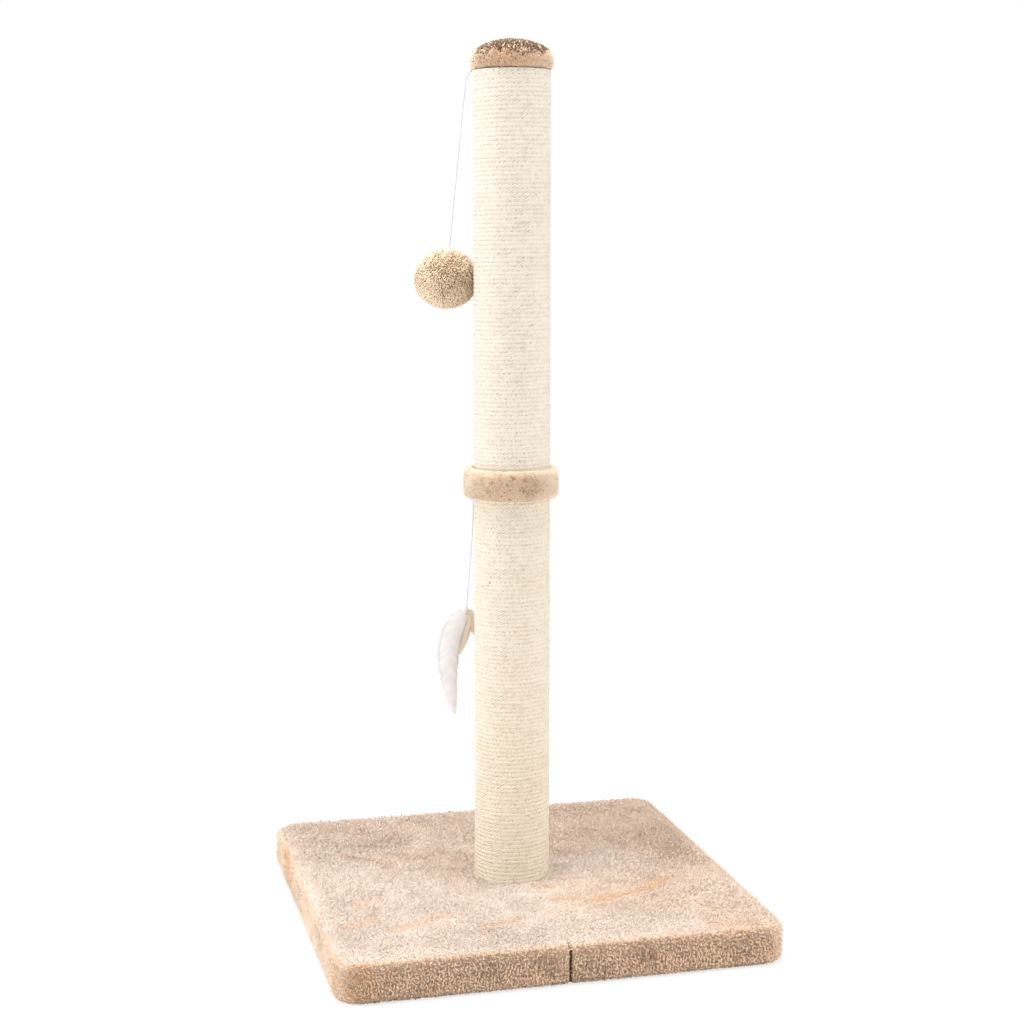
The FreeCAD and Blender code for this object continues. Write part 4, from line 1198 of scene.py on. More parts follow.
    def side_pile(self, cloth: Surface, zone: tuple[int, int]) -> Pile:
        """The pile on the edges: it hangs a little, and parts at the seam.

        Args:
            cloth: the whole cloth.
            zone: the rings of the sides.

        Returns:
            The tufts.
        """
        roots, normals = scatter(self.rings_of(cloth, zone), self.side_spacing, 21)
        draw = np.random.default_rng(22)
        beside = roots[:, 0] - self.seam_x
        at_seam = (roots[:, 1] < self.front_face) & (roots[:, 2] < self.board_high)
        kept = ~(at_seam & (np.abs(beside + 0.5 * waver(roots, 4.0, 16)) < 1.25))
        roots, normals, beside, at_seam = roots[kept], normals[kept], beside[kept], at_seam[kept]
        count = len(roots)
        curls = curled(normals, 90.0, 0.8, 0.97)
        inward, tone = clumps(roots, normals, 3.0, 15)
        bends = 0.42 * curls[:, None] * inward
        hang = ease(self.board_high - roots[:, 2], -2.0, 9.0) * ease(roots[:, 2], 1.0, 12.0)
        bends[:, 2] += (-0.42 + 0.12 * waver(roots, 15.0, 9)) * hang
        bends += unit(np.cross(UP, normals)) * (0.35 * waver(roots, 26.0, 10))[:, None]
        bends += 0.17 * draw.standard_normal((count, 3))
        streaks = self.stains(roots)
        near = at_seam * np.exp(-(beside / 3.0) ** 2)
        bends[:, 0] += 0.75 * np.sign(beside) * near
        # Painted shade: the pile is darker in the seam, and darker and mottled by the clumps' tone on
        # the curled front and back; it is lighter there towards the right.
        tones = (0.22 * draw.standard_normal(count) + 0.2 * waver(roots, 7.0, 14) + 0.2
                 + curls * (0.75 * tone + 0.55 * waver(roots, 22.0, 18) - 0.25
                            + 0.4 * ease(roots[:, 0], 20.0, 150.0)) - 0.7 * near)
        lengths = self.pile_height * (1.12 + 0.13 * draw.standard_normal(count))
        lengths *= (1.15 + 0.35 * curls) * (0.4 + 0.6 * ease(roots[:, 2], 0.0, 9.0))
        return Pile(roots, normals + 0.12 * draw.standard_normal((count, 3)), bends,
                    np.clip(lengths * (1 - 0.3 * near), 1.0, 3.8),
                    0.62 + 0.08 * draw.standard_normal(count), np.clip(tones, -1.0, 1.0),
                    normals, streaks, Strand.BUD, 23)

    def stains(self, roots: np.ndarray) -> np.ndarray:
        """The deeper colour of the edges: all along the front and back, in patches at the sides.

        Args:
            roots: where the tufts stand.

        Returns:
            Its share per tuft, 0 to 1.
        """
        ends = ease(np.abs(roots[:, 1]), self.board_half - 3.0, self.board_half + 1.0)
        patches = (0.15 + 0.75 * np.exp(-((roots[:, 1] - 105.0) / 42.0) ** 2)) * (0.75 + 0.5 * waver(
            roots, 19.0, 17))
        corner = 1 - ease(np.linalg.norm(roots[:, :2] + self.board_half - 4.0, axis=1), 14.0, 30.0)
        return np.clip(0.6 * ends + patches * (1 - ends) + 0.4 * corner, 0.0, 1.0)

    def folded_pile(self, cloth: Surface, zone: tuple[int, int]) -> Pile:
        """The pile of the folded border, pressed flat against the floor.

        Args:
            cloth: the whole cloth.
            zone: the rings of the border.

        Returns:
            The tufts.
        """
        roots, normals = scatter(self.rings_of(cloth, zone), 1.75, 31)
        draw = np.random.default_rng(32)
        count = len(roots)
        course = draw.random(count) * 2 * np.pi + 0.8 * waver(roots, 20.0, 15)
        stems = np.column_stack([np.cos(course), np.sin(course), np.full(count, -0.1)])
        return Pile(roots, stems, np.zeros((count, 3)), 2.2 + 0.5 * draw.random(count),
                    np.full(count, 0.5), np.clip(0.5 * draw.standard_normal(count) - 0.2, -1, 1),
                    normals, None, Strand.HAIR, 33)

    def build(self) -> None:
        """Make the cloth and its pile."""
        cloth, zones = self.cloth_surface()
        top = self.top_pile(cloth, zones["top"])
        piles = {
            "base_pile_back": top.chosen(top.roots[:, 1] >= self.third),
            "base_pile_middle": top.chosen(np.abs(top.roots[:, 1]) < self.third),
            "base_pile_front": top.chosen(top.roots[:, 1] <= -self.third),
            "base_pile_edges": self.side_pile(cloth, zones["sides"]),
            "base_pile_folded": self.folded_pile(cloth, zones["border"]),
        }
        for name, pile in piles.items():
            surface = pile.surface()
            surface.points[:, 2] = np.maximum(surface.points[:, 2], 0.05)
            finish = SHADED_EDGE_PLUSH if name == "base_pile_edges" else BASE_PLUSH
            surface.piece(name, finish, "post", "plush")
        cover = cloth.piece("base_cover_cloth", BASE_GROUND, "post", "plush", ["base_plush_cover"])


# ---------------------------------------------------------------------------
# Post
# ---------------------------------------------------------------------------
@dataclass
class Winding:
    """Rope or thread wound close round a core, as one sheet whose rows climb with the turns.

    Args:
        low: level of its lower end.
        high: level of its upper end.
        radius: outside of the turns, at a level from 0 at low to 1 at high.
        thickness: the rope or thread.
        turns: how many turns lie between low and high.
        columns: points round one turn.
        rows: rows of points up one turn.
        lay: length in which the strands go once round the rope.
        relief: depth of the valleys between the turns, as a share of the rope's radius.
        strand_depth: depth of the valleys between the strands, as a share of that radius.
    """

    low: float
    high: float
    radius: Callable[[np.ndarray], np.ndarray]
    thickness: float
    turns: int
    columns: int = 224
    rows: int = 5
    lay: float = 11.306
    relief: float = 0.22
    strand_depth: float = 0.22
    unevenness: float = 0.22
    seam: float = 1.1
    seed: int = 40

    def sheet(self, first: int, last: int) -> Surface:
        """The turns from one number to another.

        Args:
            first: the first turn, -1 at the lower end.
            last: the turn after the last, turns + 1 at the upper end.

        Returns:
            The sheet, cut level at low and high, with the mark "height".
        """
        pitch = (self.high - self.low) / self.turns
        count = (last - first) * self.rows + 1
        row, column = np.meshgrid(np.arange(count), np.arange(self.columns + 1), indexing="ij")
        turn = first + row / self.rows
        round_part = column / self.columns
        level = self.low + pitch * (turn + round_part)
        side = (row % self.rows) / self.rows * np.pi - np.pi / 2
        fullness = np.cos(side)
        core = self.radius(np.clip((level - self.low) / (self.high - self.low), 0, 1))
        length = (np.floor(first + row / self.rows) + round_part) * 2 * np.pi * core
        strand = np.abs(np.cos(1.5 * (side - 2 * np.pi * length / self.lay)))
        half = self.thickness / 2
        spots = np.stack([length / 9.0, np.zeros_like(length), np.zeros_like(length)], axis=-1)
        swell = waver(spots.reshape(-1, 3), 1.0, self.seed).reshape(level.shape)
        drift = waver(spots.reshape(-1, 3) * 0.6, 1.0, self.seed + 1).reshape(level.shape)
        reach = (core - half * self.relief + half * fullness
                 * (self.relief - self.strand_depth * (1 - strand) + 0.1 * swell))
        height = np.clip(level + self.unevenness * drift, self.low, self.high)
        angle = self.seam + round_part * 2 * np.pi
        points = np.stack([reach * np.cos(angle), reach * np.sin(angle), height], axis=-1)

        number = row * self.columns + column
        spare = count * self.columns
        wrapped = np.where(row + self.rows < count, (row + self.rows) * self.columns, spare + row)
        number = np.where(column == self.columns, wrapped, number)
        table = np.zeros((spare + count, 3))
        relief = np.zeros(spare + count)
        for order in (column == self.columns, column < self.columns):
            table[number[order]] = points[order]
            relief[number[order]] = fullness[order]
        quads = np.stack([number[:-1, :-1], number[:-1, 1:], number[1:, 1:], number[1:, :-1]],
                         axis=-1).reshape(-1, 4)
        levels = table[quads][..., 2]
        quads = quads[(levels.max(1) > self.low + 1e-6) & (levels.min(1) < self.high - 1e-6)]
        used, quads = np.unique(quads, return_inverse=True)
        return Surface(table[used], quads.reshape(-1, 4), marks={"height": relief[used]})


class Half(Enum):
    """The two halves of the post, by the side at which their drawn turns lie."""

    LOWER = "lower"
    UPPER = "upper"


@dataclass
class RopePost:
    """The rope on one half of the post."""

    half: Half
    finish: RopeFinish
    rope: float = 3.8
    end_turns: int = 12
    fibres: int = 900

    def build(self) -> None:
        """Make the winding, the turns at its outer end, and the loose fibres."""
        name = self.half.value
        tube_low, tube_high = (corner[2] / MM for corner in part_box(f"{name}_post_tube"))
        turns = round((tube_high - tube_low) / self.rope)
        winding = Winding(tube_low, tube_high, lambda share: np.full_like(share, POST_RADIUS),
                          self.rope, turns, seed=41 if self.half is Half.LOWER else 45)
        finish = replace(self.finish, low=tube_low, pitch=(tube_high - tube_low) / turns,
                         lay=winding.lay, seam=winding.seam)
        if self.half is Half.LOWER:
            spans = {"turns": (-1, self.end_turns), "winding": (self.end_turns, turns + 1)}
        else:
            spans = {"winding": (-1, turns - self.end_turns),
                     "turns": (turns - self.end_turns, turns + 1)}
        for part, (first, last) in spans.items():
            winding.sheet(first, last).piece(f"{name}_rope_{part}_laid", finish, "post",
                                             "rope", [f"{name}_rope_{part}"])
        self.loose_fibres(tube_low, tube_high).surface().piece(
            f"{name}_rope_fibres", finish, "post", "rope")

    def loose_fibres(self, low: float, high: float) -> Pile:
        """Thin ends of fibre that stand off the rope, and bits of dark husk in it.

        Args:
            low: level of the lower end.
            high: level of the upper end.

        Returns:
            The fibres.
        """
        draw = np.random.default_rng(50 if self.half is Half.LOWER else 51)
        count = self.fibres
        angle = draw.random(count) * 2 * np.pi
        level = low + 4.0 + draw.random(count) * (high - low - 8.0)
        tones = np.full(count, 0.5)
        if self.half is Half.LOWER:
            angle[:3] = np.radians([-151.0, -146.0, -138.0])
            level[:3] = [312.6, 314.2, 316.6]
            tones[:3] = -1.0
        tones[3:14] = -0.75
        out = np.column_stack([np.cos(angle), np.sin(angle), np.zeros(count)])
        along = np.cross(UP, out) * np.sign(draw.random(count) - 0.5)[:, None]
        stems = along + out * (0.1 + 0.3 * draw.random(count))[:, None]
        stems[:, 2] += 0.4 * draw.standard_normal(count)
        husk = tones < 0
        stems[husk] = along[husk] + UP * 0.15
        roots = out * np.where(husk, POST_RADIUS - 0.1, POST_RADIUS - 0.4)[:, None] + UP * level[:, None]
        bends = -0.25 * out + 0.25 * draw.standard_normal((count, 3))
        bends[husk] = 0.0
        return Pile(roots, stems, bends, np.where(husk, 3.2, 2.0 + 4.0 * draw.random(count)),
                    np.where(husk, 0.5, 0.09), tones, out, None, Strand.HAIR, 52)


# ---------------------------------------------------------------------------
# Plush cap, collar and ball
# ---------------------------------------------------------------------------
@dataclass
class TurnedPlush:
    """A plush piece that is round about an upright axis.

    Args:
        name: its name.
        node: the CAD node that it replaces.
        body: the body that it rides on.
        finish: its plush.
        profile: radius and level of its cloth, from the inside under it round to the inside above.
        closed: whether the profile closes on itself, as round a ring.
        centre: the axis, x and y.
        pile: height of the pile.
        spacing: distance between tufts.
        girth: thickness of a tuft.
        droop: how far the tufts hang.
        swirl: how far they lean to the side.
        bulge: how far it is pushed to one side, x and y.
        bare_below: radius within which its underside has no pile.
        crown_shade: painted shade where the plush faces up: how much deeper its colour is there.
        curl: how far the pile of its front and back is gathered in clumps, which are also painted
            darker, in shade.
        front: azimuth of the middle of its curled front, in degrees.
        lowest: level below which no tuft hangs.
        columns: points round its cloth.
        lump: depth of the cloth's low lumps.
        seed: first seed of its random draws.
        fill: how full it is stuffed; not used.
    """

    name: str
    node: str
    body: str
    finish: PlushFinish
    profile: tuple[tuple[float, float], ...]
    closed: bool = False
    centre: tuple[float, float] = (0.0, 0.0)
    pile: float = 5.0
    spacing: float = 1.25
    girth: float = 0.55
    droop: float = 0.25
    swirl: float = 0.3
    bulge: tuple[float, float] = (0.0, 0.0)
    bare_below: float = 0.0
    crown_shade: float = 0.0
    curl: float = 1.0
    front: float = -107.0
    lowest: float = 0.0
    columns: int = 96
    lump: float = 0.4
    seed: int = 60
    fill: float = 0.8

    def cloth(self) -> Surface:
        """The cloth under the pile."""
        line = flowing_line(self.profile, 6)
        if self.closed:
            line = line[:-1]
        angle = np.arange(self.columns) * 2 * np.pi / self.columns
        around = np.stack([np.cos(angle), np.sin(angle)], axis=1)
        flat = line[:, None, :1] * around[None]
        levels = np.repeat(line[:, 1:], self.columns, axis=1)[..., None]
        points = np.concatenate([flat, levels], axis=-1)
        outer = ease(line[:, 0], line[:, 0].max() - 6.0, line[:, 0].max())[:, None]
        push = np.maximum(around @ np.array(self.bulge), -0.3)
        points[..., :2] += around * (push[None, :, None] * outer[..., None])
        spots = points.reshape(-1, 3) + np.array([*self.centre, 0.0])
        swell = waver(spots, 13.0, self.seed).reshape(outer.shape[0], -1)
        points[..., :2] += around * (self.lump * swell * outer)[..., None]
        points[..., :2] += np.array(self.centre)
        surface = Surface(points.reshape(-1, 3), ring_faces(len(line), self.columns, self.closed))
        if not self.closed:
            surface = self.with_ends(surface, len(line))
        return surface

    def with_ends(self, surface: Surface, rings: int) -> Surface:
        """The cloth with its two open ends closed, each by a fan of faces."""
        last, count = (rings - 1) * self.columns, len(surface.points)
        ends = [surface.points[:self.columns].mean(0), surface.points[last:].mean(0)]
        return Surface(np.vstack([surface.points, ends]), surface.quads,
                       fans(count, count + 1, last, self.columns))

    def tufts(self, cloth: Surface) -> Pile:
        """The pile on the cloth, where it shows.

        Args:
            cloth: the cloth.

        Returns:
            The tufts.
        """
        roots, normals = scatter(cloth, self.spacing, self.seed + 1)
        out = np.linalg.norm(roots[:, :2] - np.array(self.centre), axis=1)
        shown = (out > self.bare_below) | (roots[:, 2] > self.profile[0][1] + 6.0)
        roots, normals = roots[shown], normals[shown]
        draw = np.random.default_rng(self.seed + 2)
        count = len(roots)
        side = unit(np.cross(UP, normals))
        ahead = np.cos(np.arctan2(normals[:, 1], normals[:, 0]) - math.radians(self.front + 14.0))
        # Painted shade: the crown, where the plush faces up and to the front, is darker.
        crown_shade = self.crown_shade * ease(normals[:, 2] + 0.25 * waver(roots, 6.0, self.seed + 7)
                                  + 0.25 * ahead, 0.35, 0.95)
        curls = np.maximum(self.curl * curled(normals, self.front, 0.55, 0.9), crown_shade)
        inward, tone = clumps(roots, normals, 2.1, self.seed + 6)
        bends = side * (self.swirl * waver(roots, 14.0, self.seed + 3))[:, None]
        bends[:, 2] -= self.droop * (1.0 - 0.6 * np.abs(normals[:, 2]))
        bends += 0.13 * draw.standard_normal((count, 3)) + 0.45 * curls[:, None] * inward / self.pile
        # Painted shade: the curled front is darker, mottled by the clumps' tone, and the crown darker
        # still, with a few light tufts.
        tones = (0.25 * draw.standard_normal(count) + 0.2 * waver(roots, 5.0, self.seed + 4) + 0.2
                 + curls * (0.8 * tone - 0.2) - 1.2 * crown_shade + 1.4 * crown_shade * (draw.random(count) < 0.10))
        lengths = self.pile * (1.15 + 0.09 * draw.standard_normal(count))
        return Pile(roots, normals + 0.08 * draw.standard_normal((count, 3)), bends,
                    np.clip(lengths, 0.5 * self.pile, 1.4 * self.pile),
                    self.girth * (1 + 0.15 * draw.standard_normal(count)),
                    np.clip(tones, -1.0, 1.0), normals, None, Strand.LOCK, self.seed + 5)

    def build(self) -> None:
        """Make the cloth and its pile."""
        cloth = self.cloth()
        tufts = self.tufts(cloth).surface()
        tufts.points[:, 2] = np.maximum(tufts.points[:, 2], self.lowest)
        fur = tufts.piece(f"{self.name}_pile", self.finish, self.body, "plush")
        cover = cloth.piece(f"{self.name}_cloth", self.finish, self.body, "plush", [self.node])


def plush_cap() -> TurnedPlush:
    """The domed cap, sized from its CAD solid."""
    low, high = (corner[2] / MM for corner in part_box("cap_plush_cover"))
    return TurnedPlush(
        "cap", "cap_plush_cover", "post", CAP_PLUSH,
        ((12.6, low + 0.5), (24.0, low + 0.3), (33.0, low + 1.4), (34.7, low + 4.2),
         (35.1, low + 8.4), (34.0, low + 12.8), (29.9, high - 10.2), (22.0, high - 6.4),
         (11.3, high - 3.5), (1.0, high - 2.4)), pile=1.8, spacing=1.0, droop=0.1,
        bare_below=30.5, crown_shade=1.0, curl=0.3, lowest=low + 0.6, seed=60)


def plush_collar() -> TurnedPlush:
    """The collar over the joint of the halves, a little fuller on the toys' side."""
    low, high = (corner[2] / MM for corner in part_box("collar_plush_cover"))
    middle = (low + high) / 2
    side = math.radians(165.7)
    return TurnedPlush(
        "collar", "collar_plush_cover", "post", COLLAR_PLUSH,
        ((35.5, low + 6.0), (35.9, low + 1.5), (38.9, low + 1.2), (41.1, low + 3.6),
         (41.7, middle - 3.5), (41.7, middle + 3.5), (41.1, high - 3.6), (38.9, high - 1.2),
         (35.9, high - 1.5), (35.5, high - 6.0), (35.5, low + 6.0)), closed=True,
        pile=1.4, spacing=0.95, droop=0.1, bulge=(1.85 * math.cos(side), 1.85 * math.sin(side)),
        bare_below=37.0, lowest=low + 0.2, seed=70)


def plush_ball() -> TurnedPlush:
    """The ball, its pile hanging down its sides."""
    low, high = (np.array(corner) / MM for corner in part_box("ball_plush_cover"))
    middle, radius = (low + high) / 2, (high[2] - low[2]) / 2 - 1.6
    turns = np.linspace(-0.97, 0.97, 9) * math.pi / 2
    profile = tuple((radius * math.cos(turn), middle[2] + 0.93 * radius * math.sin(turn))
                    for turn in turns)
    return TurnedPlush("ball", "ball_plush_cover", "ball", BALL_PLUSH, profile,
                       centre=(middle[0], middle[1]), pile=2.6, spacing=1.05, girth=0.66,
                       droop=0.6, swirl=0.3, front=-78.0, columns=72, seed=80, fill=1.0)


# ---------------------------------------------------------------------------
# Toys
# ---------------------------------------------------------------------------
def leaning(heading: np.ndarray) -> Matrix:
    """The turn that brings straight down to a direction."""
    return Vector((0, 0, -1)).rotation_difference(Vector(heading)).to_matrix()


def beside_post(out: float, level: float) -> np.ndarray:
    """A place out from the axis of the post, on the toys' side, at a level."""
    return OUTWARD * out + UP * level


@dataclass
class HangingCord:
    """A limp cord that hangs from its knot.

    Args:
        name: its name.
        node: its CAD node.
        body: the body that it rides on.
        knot: place of its knot, out and level.
        route: the points of its route, out and down from the knot.
        length: its free length; not used.
        diameter: its thickness.
    """

    name: str
    node: str
    body: str
    knot: tuple[float, float]
    route: tuple[tuple[float, float], ...]
    length: float
    diameter: float = 1.4

    def points(self) -> list[np.ndarray]:
        """The points of the route in the frame, in millimetres."""
        return [beside_post(self.knot[0] + out, self.knot[1] - down) for out, down in self.route]

    def heading(self) -> np.ndarray:
        """The direction in which the cord ends."""
        points = self.points()
        return unit(points[-1] - points[-2])

    def build(self) -> None:
        """Make the cord and its knot."""
        curve = bpy.data.curves.new(self.name, "CURVE")
        curve.dimensions = "3D"
        curve.bevel_depth = self.diameter / 2 * MM
        curve.bevel_resolution = 3
        curve.use_fill_caps = True
        curve.resolution_u = 24
        points = self.points()
        spline = curve.splines.new("NURBS")
        spline.points.add(len(points) - 1)
        for spot, point in zip(points, spline.points):
            point.co = (*(spot * MM), 1.0)
        spline.order_u = 3
        spline.use_endpoint_u = True
        cord = bpy.data.objects.new(self.name, curve)
        bpy.context.scene.collection.objects.link(cord)
        settle(cord, WHITE_CORD, self.body, [self.node])
        self.knot_piece()

    def knot_piece(self) -> None:
        """Make the overhand knot: a three-lobed loop of the same cord."""
        turn = np.linspace(0.0, 2 * np.pi, 61)
        loop = np.stack([np.sin(turn) + 2 * np.sin(2 * turn),
                         np.cos(turn) - 2 * np.cos(2 * turn), -1.3 * np.sin(3 * turn)], axis=1)
        node = f"{self.node}_knot"
        low, high = (np.array(corner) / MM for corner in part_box(node))
        size = (high - low) / 2
        loop = loop / np.abs(loop).max(0) * (size - 0.5 * self.diameter * 0.8)
        knot = tube((low + high) / 2 + loop, np.full(len(loop), 0.4 * self.diameter))
        knot.piece(f"{self.name}_knot", WHITE_CORD, self.body.replace("cord_line", "knot"), "cord",
                   [node])


@dataclass
class Feather:
    """One feather of the bunch: a bowed quill with barbs on both sides.

    Args:
        name: its name, which is also its CAD node's.
        finish: its colour.
        turn: side to which it bows, in degrees from the toys' side.
        roll: how far its vane is rolled about the quill, in degrees.
        poles: out and down from the binding: the foot, the bow and the tip of the quill.
        width: width of the vane.
        puff: half its thickness.
        fluff: how far the barbs stand all round the quill, 0 for a flat vane, 1 for a plume.
        barbs: barbs along each side.
        seed: first seed of its random draws.
    """

    name: str
    finish: FeatherFinish
    turn: float
    roll: float
    poles: tuple[tuple[float, float], ...]
    width: float
    puff: float = 1.6
    fluff: float = 0.2
    barbs: int = 1400
    seed: int = 90

    def quill(self, share: np.ndarray) -> tuple[np.ndarray, np.ndarray]:
        """Places and directions on the quill.

        Args:
            share: 0 at the foot to 1 at the tip.

        Returns:
            The places, and the directions there.
        """
        a, b, c = (np.array([out, 0.0, -down]) for out, down in self.poles)
        s = share[:, None]
        place = a * (1 - s) ** 2 + b * 2 * s * (1 - s) + c * s ** 2
        return place, unit(2 * (b - a) * (1 - s) + 2 * (c - b) * s)

    def half_width(self, share: np.ndarray) -> np.ndarray:
        """Half the width of the vane along the quill."""
        return self.width / 2 * np.sin(np.pi * np.clip(share, 0.0, 0.997) ** 0.8) ** 0.5

    def faces(self, along: np.ndarray) -> tuple[np.ndarray, np.ndarray]:
        """The vane's own directions.

        Args:
            along: the directions of the quill.

        Returns:
            The direction across the vane at each place, and the one that it faces.
        """
        flat, front = np.cross(along, np.array([0.0, 1.0, 0.0])), np.array([0.0, 1.0, 0.0])
        cos, sin = math.cos(math.radians(self.roll)), math.sin(math.radians(self.roll))
        return cos * flat + sin * front, cos * front - sin * flat

    def vane(self) -> Surface:
        """The web of barbs, as one soft lens, streaked along the barbs, in its shape and in painted
        shade, and frayed at its rim.
        """
        rings, columns = 240, 28
        share = np.linspace(0.01, 0.995, rings)
        place, along = self.quill(share)
        across, front = self.faces(along)
        angle = np.arange(columns) * 2 * np.pi / columns
        wide = self.half_width(share + 0.03 * (1 - share))[:, None, None]
        lean = np.cos(angle)[None, :, None] * across[:, None]
        rise = np.sin(angle)[None, :, None] * front[:, None]
        grown = np.concatenate([[0.0], np.cumsum(np.linalg.norm(np.diff(place, axis=0), axis=1))])
        course = grown[:, None] - 0.9 * np.abs(np.cos(angle)) * wide[..., 0]
        barb = np.stack([course, np.broadcast_to(9.0 * np.sign(np.cos(angle)), course.shape),
                         np.zeros_like(course)], axis=-1).reshape(-1, 3)
        streaks = 0.6 * waver(barb, 1.7, self.seed) + 0.4 * waver(barb, 5.0, self.seed + 3)
        fray = waver(barb * np.array([1.0, 1.0, 0.0]), 0.8, self.seed + 5) - 0.5
        fray = np.abs(np.cos(angle)) ** 6 * fray.reshape(rings, columns)
        swell = 1 + 0.08 * streaks.reshape(rings, columns, 1) + 0.14 * fray[..., None]
        points = (place[:, None] + lean * wide * swell + rise * 0.5 * self.puff * swell).reshape(-1, 3)
        last = (rings - 1) * columns
        ends = [(0, k, k + 1) for k in range(1, columns - 1)]
        ends += [(last, last + k + 1, last + k) for k in range(1, columns - 1)]
        return Surface(points, ring_faces(rings, columns)[:, ::-1], np.array(ends),
                       {"along": np.full(len(points), 0.8), "tone": streaks},
                       normals=unit((0.25 + 0.4 * self.fluff) * lean + rise).reshape(-1, 3))

    def barb_pile(self) -> Pile:
        """The loose ends of the barbs, round the rim of the vane."""
        draw = np.random.default_rng(self.seed)
        count = 2 * self.barbs
        share = np.clip(np.tile(np.linspace(0.0, 0.97, self.barbs), 2)
                        + 0.01 * draw.standard_normal(count), 0.0, 0.985)
        side = np.repeat([-1.0, 1.0], self.barbs)
        place, along = self.quill(share)
        across, front = self.faces(along)
        across *= side[:, None]
        reach = np.maximum(self.half_width(np.clip(share + 0.04, 0.0, 0.97)), 0.1 * self.width)
        spray = (self.fluff * np.pi / 2 * (2 * draw.random(count) - 1))[:, None]
        outward = np.cos(spray) * across + np.sin(spray) * front
        depth = 0.5 * self.puff * np.sin(spray) + 0.86 * reach[:, None] * np.abs(np.cos(spray))
        roots = place + across * depth * np.cos(spray) + front * 0.45 * self.puff * np.sin(spray)
        stems = unit(outward + along * (0.4 + 0.9 * draw.random((count, 1))))
        bends = 0.3 * along + 0.12 * draw.standard_normal((count, 3))
        bends[:, 2] -= 0.3 * self.fluff
        tones = 0.4 * draw.standard_normal(count)
        lengths = reach * (0.16 + 0.24 * draw.random(count))
        return Pile(roots, stems, bends, lengths, 0.12 + 0.08 * draw.random(count),
                    np.clip(tones, -1.0, 1.0), outward, None, Strand.HAIR, self.seed + 2, 6.0)

    def build(self, foot: np.ndarray, heading: np.ndarray) -> None:
        """Make the feather.

        Args:
            foot: the foot of the bunch.
            heading: the direction in which the cord ends there.
        """
        upright = Matrix.Rotation(TOY_AZIMUTH + math.radians(self.turn), 3, "Z")
        axes = np.array((leaning(heading) @ upright).transposed())
        share = np.linspace(0.0, 0.99, 48)
        shaft = tube(self.quill(share)[0], np.interp(share, [0, 1], [0.45, 0.12]), 6)
        shaft.marks = {"along": np.full(len(shaft.points), 0.2)}
        whole = Surface.joined([shaft, self.vane(), self.barb_pile().surface()])
        whole.moved(foot, axes).piece(f"{self.name}_barbs", self.finish, "feathers", "feather",
                                      [self.name])


@dataclass
class Toys:
    """The two toys on their cords."""

    binding_length: float = 7.0
    binding_radius: float = 2.6
    binding_taper: float = 2.8
    cord_gap: float = 0.3
    ball_cord: HangingCord = field(default_factory=lambda: HangingCord(
        "ball_cord_hung", "ball_cord", "ball_cord_line", (39.2, 776.3),
        ((1.08, 1.44), (4.2, 5.6), (5.7, 14.0), (22.06, 165.6)), 166.1))
    feather_cord: HangingCord = field(default_factory=lambda: HangingCord(
        "feather_cord_hung", "feather_cord", "feather_cord_line", (37.6, 390.4),
        ((0.05, 1.8), (0.7, 24.0), (3.15, 56.0), (7.35, 104.0)), 102.5))
    feathers: tuple[Feather, ...] = (
        Feather("feather_large", WHITE_FEATHER, 18.5, 0.0, ((1.3, -1.5), (24.5, 27.0), (2.8, 97.0)),
                20.5, fluff=0.25, barbs=300, seed=90),
        Feather("feather_middle", SHADED_FEATHER, -96.5, 0.0, ((1.3, -1.5), (18.0, 9.0), (36.0, 31.0)),
                15.0, puff=4.0, fluff=0.3, barbs=160, seed=94),
        Feather("feather_downy", SHADED_FEATHER, -38.0, 56.0, ((1.3, -1.5), (8.0, 16.0), (8.0, 41.0)),
                18.0, puff=3.0, fluff=0.3, barbs=160, seed=98),
    )

    def binding(self, foot: np.ndarray, heading: np.ndarray) -> None:
        """Make the thread that binds the quills to the cord.

        Args:
            foot: the foot of the bunch.
            heading: the direction in which the cord ends there.
        """
        def radius(share: np.ndarray) -> np.ndarray:
            """Outside of the thread, narrower at its upper end."""
            taper = ease(share, 1 - self.binding_taper / self.binding_length, 1.0)
            return self.binding_radius - taper * (self.binding_radius - 1.0)

        thread = Winding(0.0, self.binding_length, radius, 0.5, 14, columns=36, rows=4, lay=3.0,
                         unevenness=0.05, seed=101).sheet(-1, 15)
        plug = tube(np.array([[0.0, 0.0, 0.02], [0.0, 0.0, self.binding_length - 0.02]]),
                    np.array([self.binding_radius - 0.45, 0.7]), 16)
        plug.marks = {"height": np.zeros(len(plug.points))}
        axes = np.array(leaning(heading).transposed())
        Surface.joined([thread, plug]).moved(foot, axes).piece(
            "feather_binding_wound", THREAD, "feathers", "binding_thread", ["feather_binding"])

    def build(self) -> None:
        """Make the cords, their knots, the ball and the feathers."""
        self.ball_cord.build()
        plush_ball().build()
        self.feather_cord.build()
        heading = self.feather_cord.heading()
        foot = self.feather_cord.points()[-1] + heading * (self.cord_gap + self.binding_length)
        self.binding(foot, heading)
        for feather in self.feathers:
            feather.build(foot, heading)


# ---------------------------------------------------------------------------
# Studio
# ---------------------------------------------------------------------------
@dataclass(frozen=True)
class Lamp:
    """A soft rectangular lamp that points at the object."""

    name: str
    place: tuple[float, float, float]
    size: tuple[float, float]
    power: float
    aim: tuple[float, float, float] = (0.0, 0.0, 0.4)

    def build(self) -> None:
        """Make the lamp."""
        light = bpy.data.lights.new(self.name, "AREA")
        light.shape = "RECTANGLE"
        light.size, light.size_y = self.size
        light.energy = self.power
        lamp = bpy.data.objects.new(self.name, light)
        lamp.location = self.place
        toward = Vector(self.aim) - Vector(self.place)
        lamp.rotation_euler = toward.to_track_quat("-Z", "Y").to_euler()
        bpy.context.scene.collection.objects.link(lamp)


